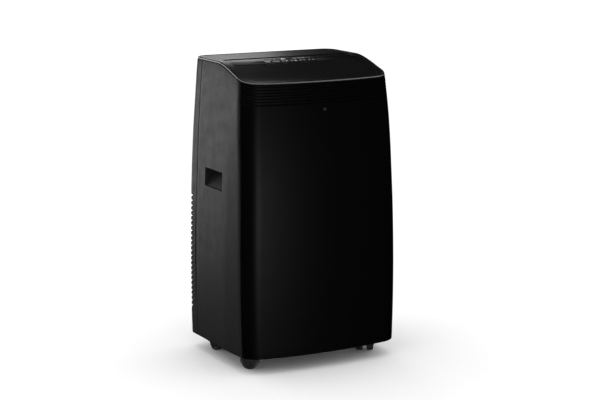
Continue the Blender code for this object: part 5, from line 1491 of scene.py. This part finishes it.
class COOLER_OT_rear_fittings(bpy.types.Operator):
    """Build the hose collar, the drain plugs and the cord's bush"""
    bl_idname = "cooler.rear_fittings"
    bl_label = "Rear Fittings"

    def execute(self, context):
        low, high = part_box("hose_collar")
        outer, inner, lip = PORT_RADIUS + PORT_WALL, PORT_RADIUS, 0.0022
        front, rear, c = low.y, high.y, 0.0006
        profile = [(outer, rear - c), (outer - c * 0.3, rear - c * 0.3), (outer - c, rear),
                   (inner - lip + c, rear),
                   (inner - lip + c * 0.3, rear - c * 0.3), (inner - lip, rear - c),
                   (inner - lip, rear - 0.004 + c),
                   (inner, rear - 0.006 - c), (inner, front), (outer, front)]
        collar = turned("collar", profile, (0, 0, PORT_HEIGHT), "Y", 128)
        tree, ids = ring_tree()
        ribs = grown("collar_ribs", None, tree, ids, {
            "Radius": inner - 0.0006, "Count": 24, "Size": (0.0024, 0.0018, 0.014), "Tilt": 0.0,
            "Lift": (0, 0, 0), "Material": casing_black()})
        upright = Matrix.Rotation(math.radians(90), 4, "X")
        ribs.transform(Matrix.Translation((0, rear - 0.0155, PORT_HEIGHT)) @ upright)
        add_piece("hose_collar_ring", merged("collar", [collar, ribs]), "chassis", casing_black(),
                  ("hose_collar",))
        for node in ("drain_cap_lower", "drain_cap_upper"):
            low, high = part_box(node)
            x, z = (low.x + high.x) / 2, (low.z + high.z) / 2
            r, shank = (high.x - low.x) / 2, 0.006
            outside, face = high.y, high.y - 0.0026
            profile = [(0, low.y), (shank - 0.0008, low.y), (shank - 0.0003, low.y + 0.0012), (shank, face),
                       (r - 0.0002, face), (r, face + 0.0004), (r, outside - 0.0012),
                       (r - 0.0004, outside - 0.0004),
                       (r - 0.0012, outside), (r * 0.62, outside), (r * 0.56, outside - 0.0006),
                       (r * 0.30, outside - 0.0006), (r * 0.24, outside - 0.0001), (0, outside - 0.0001)]
            plug = turned("plug", profile, (x, 0, z), "Y", 64)
            add_piece(f"{node}_plug", plug, node, soft_rubber(), (node,))
        low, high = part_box("cord_gland")
        x, z = (low.x + high.x) / 2, (low.z + high.z) / 2
        r, bore, face = (high.x - low.x) / 2, 0.0045, high.y - 0.0026
        profile = [(bore, low.y), (0.009, low.y), (0.009, face), (r, face), (r, face + 0.0006),
                   (0.0098, high.y - 0.0006),
                   (0.0090, high.y), (bore + 0.0006, high.y), (bore, high.y - 0.0006)]
        bush = turned("bush", profile, (x, 0, z), "Y", 64)
        add_piece("cord_bush", bush, "chassis", soft_rubber(), ("cord_gland",))
        return {"FINISHED"}


# ------------------------------------------------------------------ casters
class COOLER_OT_casters(bpy.types.Operator):
    """Build the four twin-wheel casters"""
    bl_idname = "cooler.casters"
    bl_label = "Casters"

    def execute(self, context):
        for y in ("front", "rear"):
            for x in ("left", "right"):
                self.caster(f"caster_{y}_{x}", context.scene.cooler_shape)
        return {"FINISHED"}

    def caster(self, name, look):
        hood = cleaned_node(f"{name}_hood", 0.0005, 30, 30)
        add_piece(f"{name}_shell", hood, f"{name}_swivel", wheel_black(), (f"{name}_hood",))
        roll = next(j for j in frame["joints"] if j["name"] == f"{name}_roll")
        turn = Vector(roll["axis"]).to_track_quat("Z", "Y").to_matrix().to_4x4()
        matrix = Matrix.Translation(roll["pos_m"]) @ turn
        radius, outer, inner = 0.020, 0.0205, 0.0050
        e = 0.0016
        tread = []
        hubs = []
        for side in (-1, 1):
            profile = [(radius - e, outer), (radius - e * 0.3, outer - e * 0.3), (radius, outer - e),
                       (radius, inner + e), (radius - e * 0.3, inner + e * 0.3), (radius - e, inner),
                       (radius - 0.0040, inner + 0.0002), (radius - 0.0040, outer - 0.0002)]
            tread.append(turned("tread", [(r, side * h) for r, h in profile], (0, 0, 0), "Z", 72))
            face = [(0, inner), (radius - 0.0042, inner), (radius - 0.0042, outer - 0.0004),
                    (radius - 0.0052, outer),
                    (radius - 0.0064, outer - 0.0012), (0.0075, outer - 0.0016), (0.0066, outer - 0.0004),
                    (0.0052, outer - 0.0001), (0, outer)]
            hubs.append(turned("hub", [(r, side * h) for r, h in face], (0, 0, 0), "Z", 64))
            tree, ids = ring_tree()
            ribs = grown("spokes", None, tree, ids, {
                "Radius": 0.0106, "Count": look.spokes, "Size": (0.0058, 0.0011, 0.0012), "Tilt": 0.0,
                "Lift": (0, 0, side * (outer - 0.0011)), "Material": wheel_black()})
            hubs.append(ribs)
        hubs.append(turned("axle", [(0, -inner - 0.001), (0.0025, -inner - 0.001), (0.0025, inner + 0.001),
                                    (0, inner + 0.001)], (0, 0, 0), "Z", 24))
        wheels = f"{name}_wheels"
        for kind, parts, paint in (("tread", tread, tread_rubber()), ("hub", hubs, wheel_black())):
            mesh = merged(kind, parts)
            mesh.transform(matrix)
            add_piece(f"{name}_{kind}", mesh, wheels, paint, (wheels,))


# ------------------------------------------------------------------ inside
class COOLER_OT_base(bpy.types.Operator):
    """Build the base pan and the deck above it with eased edges"""
    bl_idname = "cooler.base"
    bl_label = "Base And Deck"

    def execute(self, context):
        for node, slot, paint, width in (("base_pan", "black_steel", pan_paint(), 0.0006),
                                         ("mid_deck", "foam", foam(), 0.0012),
                                         ("drain_tray", "white_plastic", white_moulding(), 0.0006),
                                         ("evaporator_scroll", "white_plastic", white_moulding(), 0.0004),
                                         ("condenser_scroll", "white_plastic", white_moulding(), 0.0004),
                                         ("exhaust_elbow", "white_plastic", white_moulding(), 0.0004),
                                         ("electrical_box", "steel", steel(), 0.0005),
                                         ("control_board", "circuit", board_mask(), 0.0002)):
            add_piece(f"{node}_solid", cleaned_node(node, width), "chassis", paint, (node,))
        return {"FINISHED"}


class COOLER_OT_coils(bpy.types.Operator):
    """Build both coils, with their fins, their tubes and their end plates"""
    bl_idname = "cooler.coils"
    bl_label = "Coils"

    def execute(self, context):
        look = context.scene.cooler_shape
        tree, ids = row_tree()
        for node, name in (("condenser_coil", "hot"), ("evaporator_coil", "cool")):
            low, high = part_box(node)
            plate = 0.0015
            count = int((high.x - low.x - 0.006) / look.fin_pitch)
            fins = grown("fins", None, tree, ids, {
                "Start": (low.x + 0.003, (low.y + high.y) / 2, (low.z + high.z) / 2),
                "Step": ((high.x - low.x - 0.006) / count, 0, 0), "Count": count + 1,
                "Size": (0.00025, high.y - low.y - 0.0008, high.z - low.z - 0.010), "Material": fin_metal()})
            ends = [box_mesh("end", (x, low.y, low.z), (x + plate, high.y, high.z), 0.0002)
                    for x in (low.x, high.x - plate)]
            add_piece(f"{name}_coil_fins", merged("fins", [fins, *ends]), "chassis", fin_metal(),
                      (node,))
            rows = int((high.z - low.z - 0.014) / look.tube_pitch)
            tubes = grown("tubes", None, tree, ids, {
                "Start": ((low.x + high.x) / 2, (low.y + high.y) / 2, low.z + 0.011),
                "Step": (0, 0, look.tube_pitch),
                "Count": rows, "Size": (high.x - low.x - 0.001, 0.0064, 0.0064), "Material": copper()})
            add_piece(f"{name}_coil_tubes", tubes, "chassis", copper(), (node,))
        return {"FINISHED"}


class COOLER_OT_machinery(bpy.types.Operator):
    """Build the compressor, the motors, the fans and the pipes"""
    bl_idname = "cooler.machinery"
    bl_label = "Machinery"

    def execute(self, context):
        finishes = {"compressor": (pan_paint(), "black_steel"), "accumulator": (pan_paint(), "black_steel"),
                    "suction_pipe": (copper(), "copper"), "discharge_pipe": (copper(), "copper"),
                    "liquid_pipe": (copper(), "copper")}
        for node, (paint, slot) in finishes.items():
            self.copied(node, f"{node}_body", "chassis", slot, paint, 50)
        for node in ("evaporator_motor", "condenser_motor", "splash_motor", "flap_motor"):
            self.copied(node, f"{node}_can", "chassis", "steel", steel(), 40)
        for node in ("evaporator_fan", "condenser_fan", "splash_wheel"):
            self.copied(node, f"{node}_rotor", node, "white_plastic", white_moulding(), 32)
        return {"FINISHED"}

    def copied(self, node, name, body, slot, paint, sharp):
        add_piece(name, cleaned_node(node, 0.0004, sharp, sharp), body, paint, (node,))


# ------------------------------------------------------------------ the stage
def soft_light(name, place_at, target, size, power, colour=(1, 1, 1)):
    data = bpy.data.lights.new(name, "AREA")
    data.shape = "RECTANGLE"
    data.size, data.size_y = size
    data.energy = power
    data.color = colour
    lamp = bpy.data.objects.new(name, data)
    bpy.context.scene.collection.objects.link(lamp)
    lamp.location = place_at
    lamp.visible_camera = False
    lamp.rotation_euler = (Vector(target) - Vector(place_at)).to_track_quat("-Z", "Y").to_euler()
    return lamp


def floor_finish(colour):
    material = finish("studio_floor", colour, 0.9, specular=0.1, grain=(60, 0.01), blotch=(0.7, 0.006))
    return material


class COOLER_OT_stage(bpy.types.Operator):
    """Build the pale floor, the soft lights and the camera"""
    bl_idname = "cooler.stage"
    bl_label = "Studio Stage"

    def execute(self, context):
        stage = context.scene.cooler_stage
        work = bmesh.new()
        bmesh.ops.create_grid(work, x_segments=8, y_segments=8, size=6)
        mesh = bpy.data.meshes.new("studio_floor")
        work.to_mesh(mesh)
        work.free()
        floor = bpy.data.objects.new("studio_floor", mesh)
        mesh.materials.append(floor_finish(stage.floor_colour))
        context.scene.collection.objects.link(floor)
        floor.visible_glossy = False
        floor.visible_diffuse = True
        world = bpy.data.worlds.new("studio_world")
        context.scene.world = world
        world.use_nodes = True
        shade = world.node_tree.nodes["Background"]
        shade.inputs["Color"].default_value = (1, 1, 1, 1)
        shade.inputs["Strength"].default_value = stage.world_strength
        world.cycles_visibility.glossy = False
        soft_light("overhead", (-0.5, -0.1, 2.4), (-0.1, 0, 0.6), (0.8, 0.8), stage.overhead_power)
        soft_light("left_side", (-0.95, 2.4, 0.3), (-0.1, 0.05, 0.3), (1.1, 1.2), stage.side_power)
        soft_light("low_front", (-0.35, -1.9, 0.12), (-0.12, -0.15, 0.12), (0.7, 0.5), stage.front_power)
        soft_light("right_edge", (2.3, -0.7, 0.9), (0.1, -0.1, 0.4), (0.5, 1.6), stage.edge_power)
        soft_light("behind", (0.45, 1.7, 1.25), (0, 0.0, 0.66), (0.7, 0.5), stage.behind_power)
        self.camera(context, stage)
        context.scene.view_settings.view_transform = "Standard"
        return {"FINISHED"}

    def camera(self, context, stage):
        target = Vector((0, 0.0065, 0.36))
        azimuth, elevation = stage.azimuth, stage.elevation
        place_at = target + stage.distance * Vector((math.sin(azimuth) * math.cos(elevation),
                                                     -math.cos(azimuth) * math.cos(elevation),
                                                     math.sin(elevation)))
        data = bpy.data.cameras.new("studio_camera")
        data.sensor_width = 36
        data.lens = stage.lens
        data.shift_x = stage.shift_x
        data.shift_y = stage.shift_y
        camera = bpy.data.objects.new("studio_camera", data)
        context.scene.collection.objects.link(camera)
        camera.location = place_at
        camera.rotation_euler = (target - place_at).to_track_quat("-Z", "Y").to_euler()
        context.scene.camera = camera


# ------------------------------------------------------------------ settings and panel
class CoolerShape(bpy.types.PropertyGroup):
    grooves: IntProperty(name="Grooves", description="How many grooves run round the head of the front wall",
                         default=7, min=0, max=9)
    groove_pitch: FloatProperty(name="Groove Pitch", description="Distance from one groove to the next",
                                default=0.0067, unit="LENGTH", precision=4)
    groove_width: FloatProperty(name="Groove Width", description="Width of each groove", default=0.0034,
                                unit="LENGTH", precision=4)
    groove_depth: FloatProperty(name="Groove Depth", description="Depth of each groove", default=0.0018,
                                unit="LENGTH", precision=4)
    sensor_height: FloatProperty(name="Sensor Height", description="Height of the dotted sensor mark",
                                 default=0.612, unit="LENGTH", precision=3)
    icon_size: FloatProperty(name="Icon Size", description="Size of the marks printed on the keys",
                             default=0.0072,
                             unit="LENGTH", precision=4)
    screw_radius: FloatProperty(name="Screw Radius", description="Radius of the screw heads at the back",
                                default=0.0034, unit="LENGTH", precision=4)
    louvre_pitch: FloatProperty(name="Louvre Pitch", description="Distance from one louvre to the next",
                                default=0.0124, unit="LENGTH", precision=4)
    louvre_gap: FloatProperty(name="Louvre Gap", description="Height of the gap between two louvres",
                              default=0.0062, unit="LENGTH", precision=4)
    slat_depth: FloatProperty(name="Slat Depth", description="Depth of each louvre from front to back",
                              default=0.0026, unit="LENGTH", precision=4)
    slat_lean: FloatProperty(name="Slat Lean", description="How far each louvre's section leans",
                             default=0.0012,
                             unit="LENGTH", precision=4)
    intake_slat: FloatProperty(name="Intake Slat", description="Height of each slat of the upper intake",
                               default=0.0046, unit="LENGTH", precision=4)
    thread_pitch: FloatProperty(name="Thread Pitch", description="Distance between the filter's threads",
                                default=0.0022, unit="LENGTH", precision=4)
    fin_pitch: FloatProperty(name="Fin Pitch", description="Distance between the coils' fins",
                             default=0.0022,
                             unit="LENGTH", precision=4)
    tube_pitch: FloatProperty(name="Tube Pitch", description="Distance between the coils' tubes",
                              default=0.019,
                              unit="LENGTH", precision=4)
    spokes: IntProperty(name="Spokes", description="How many ribs each wheel's hub has", default=8, min=3,
                        max=16)


class CoolerFinishes(bpy.types.PropertyGroup):
    casing_colour: FloatVectorProperty(name="Casing", description="Colour of the side and rear walls",
                                       default=(0.012, 0.012, 0.0123), subtype="COLOR", min=0, max=1)
    casing_roughness: FloatProperty(name="Casing Roughness",
                                    description="How matt the side and rear walls are",
                                    default=0.52, min=0, max=1)
    casing_specular: FloatProperty(name="Casing Sheen",
                                   description="How strongly the side and rear walls reflect",
                                   default=0.42, min=0, max=1)
    casing_grain: FloatProperty(name="Casing Grain",
                                description="How strong the moulded grain of the walls is",
                                default=0.10, min=0, max=1)
    front_colour: FloatVectorProperty(name="Front", description="Colour of the front wall",
                                      default=(0.0010, 0.0010, 0.0011), subtype="COLOR", min=0, max=1)
    front_roughness: FloatProperty(name="Front Roughness", description="How matt the front wall is",
                                   default=0.42,
                                   min=0, max=1)
    front_specular: FloatProperty(name="Front Sheen", description="How strongly the front wall reflects",
                                  default=0.45, min=0, max=1)
    top_colour: FloatVectorProperty(name="Top",
                                    description="Colour of the top cover, the strip and the flap",
                                    default=(0.009, 0.009, 0.0094), subtype="COLOR", min=0, max=1)
    top_roughness: FloatProperty(name="Top Roughness", description="How matt the top is", default=0.34,
                                 min=0, max=1)
    top_specular: FloatProperty(name="Top Sheen", description="How strongly the top reflects", default=0.5,
                                min=0, max=1)
    print_colour: FloatVectorProperty(name="Print", description="Colour of the printed marks",
                                      default=(0.42, 0.42, 0.43), subtype="COLOR", min=0, max=1)


class CoolerStage(bpy.types.PropertyGroup):
    floor_colour: FloatVectorProperty(name="Floor", description="Colour of the studio floor",
                                      default=(0.97, 0.97, 0.97), subtype="COLOR", min=0, max=1)
    world_strength: FloatProperty(name="Surround", description="Brightness of the white surround",
                                  default=1.12,
                                  min=0, max=5)
    overhead_power: FloatProperty(name="Overhead Light", description="Power of the overhead soft light",
                                  default=1.2, unit="POWER")
    side_power: FloatProperty(name="Side Light", description="Power of the soft light at the left",
                              default=13,
                              unit="POWER")
    front_power: FloatProperty(name="Front Light", description="Power of the low soft light at the front",
                               default=3, unit="POWER")
    edge_power: FloatProperty(name="Edge Light", description="Power of the light that draws the right edge",
                              default=0.1, unit="POWER")
    behind_power: FloatProperty(name="Rear Light", description="Power of the soft light behind", default=2,
                                unit="POWER")
    azimuth: FloatProperty(name="Azimuth", description="The camera's turn from straight in front",
                           default=math.radians(-27.899), subtype="ANGLE", unit="ROTATION")
    elevation: FloatProperty(name="Elevation",
                             description="The camera's height above the level, as an angle",
                             default=math.radians(11.174), subtype="ANGLE", unit="ROTATION")
    distance: FloatProperty(name="Distance", description="How far the camera is from its target",
                            default=4.1084,
                            unit="LENGTH")
    lens: FloatProperty(name="Lens", description="The camera's focal length in millimetres", default=102.466)
    shift_x: FloatProperty(name="Shift X", description="The camera's sideways shift", default=0.0120,
                           precision=4)
    shift_y: FloatProperty(name="Shift Y", description="The camera's upward shift", default=0.0082,
                           precision=4)


OPERATORS = (COOLER_OT_front_panel, COOLER_OT_side_panels, COOLER_OT_rear_housing,
             COOLER_OT_condenser_grille,
             COOLER_OT_top_cover, COOLER_OT_control_strip, COOLER_OT_outlet_flap, COOLER_OT_air_outlet,
             COOLER_OT_intake, COOLER_OT_rear_fittings, COOLER_OT_casters, COOLER_OT_base, COOLER_OT_coils,
             COOLER_OT_machinery, COOLER_OT_stage)


class COOLER_PT_panel(bpy.types.Panel):
    """The sidebar panel that lists the settings and what can be built"""
    bl_idname = "COOLER_PT_panel"
    bl_label = "Portable Air Conditioner"
    bl_space_type = "VIEW_3D"
    bl_region_type = "UI"
    bl_category = "Cooler"

    def draw(self, context):
        scene = context.scene
        for group in (scene.cooler_shape, scene.cooler_finishes, scene.cooler_stage):
            box = self.layout.box()
            for name in group.bl_rna.properties.keys():
                if name not in ("rna_type", "name"):
                    box.prop(group, name)
        for operator in OPERATORS:
            self.layout.operator(operator.bl_idname)


GROUPS = (("cooler_shape", CoolerShape), ("cooler_finishes", CoolerFinishes), ("cooler_stage", CoolerStage))


def register():
    for name, group in GROUPS:
        bpy.utils.register_class(group)
        setattr(bpy.types.Scene, name, PointerProperty(type=group))
    for cls in (*OPERATORS, COOLER_PT_panel):
        bpy.utils.register_class(cls)


def unregister():
    for cls in reversed((*OPERATORS, COOLER_PT_panel)):
        bpy.utils.unregister_class(cls)
    for name, group in reversed(GROUPS):
        delattr(bpy.types.Scene, name)
        bpy.utils.unregister_class(group)


def main():
    register()
    bpy.ops.cooler.front_panel()
    bpy.ops.cooler.side_panels()
    bpy.ops.cooler.rear_housing()
    bpy.ops.cooler.condenser_grille()
    bpy.ops.cooler.top_cover()
    bpy.ops.cooler.control_strip()
    bpy.ops.cooler.outlet_flap()
    bpy.ops.cooler.air_outlet()
    bpy.ops.cooler.intake()
    bpy.ops.cooler.rear_fittings()
    bpy.ops.cooler.casters()
    bpy.ops.cooler.base()
    bpy.ops.cooler.coils()
    bpy.ops.cooler.machinery()
    bpy.ops.cooler.stage()


if __name__ == "__main__":
    main()
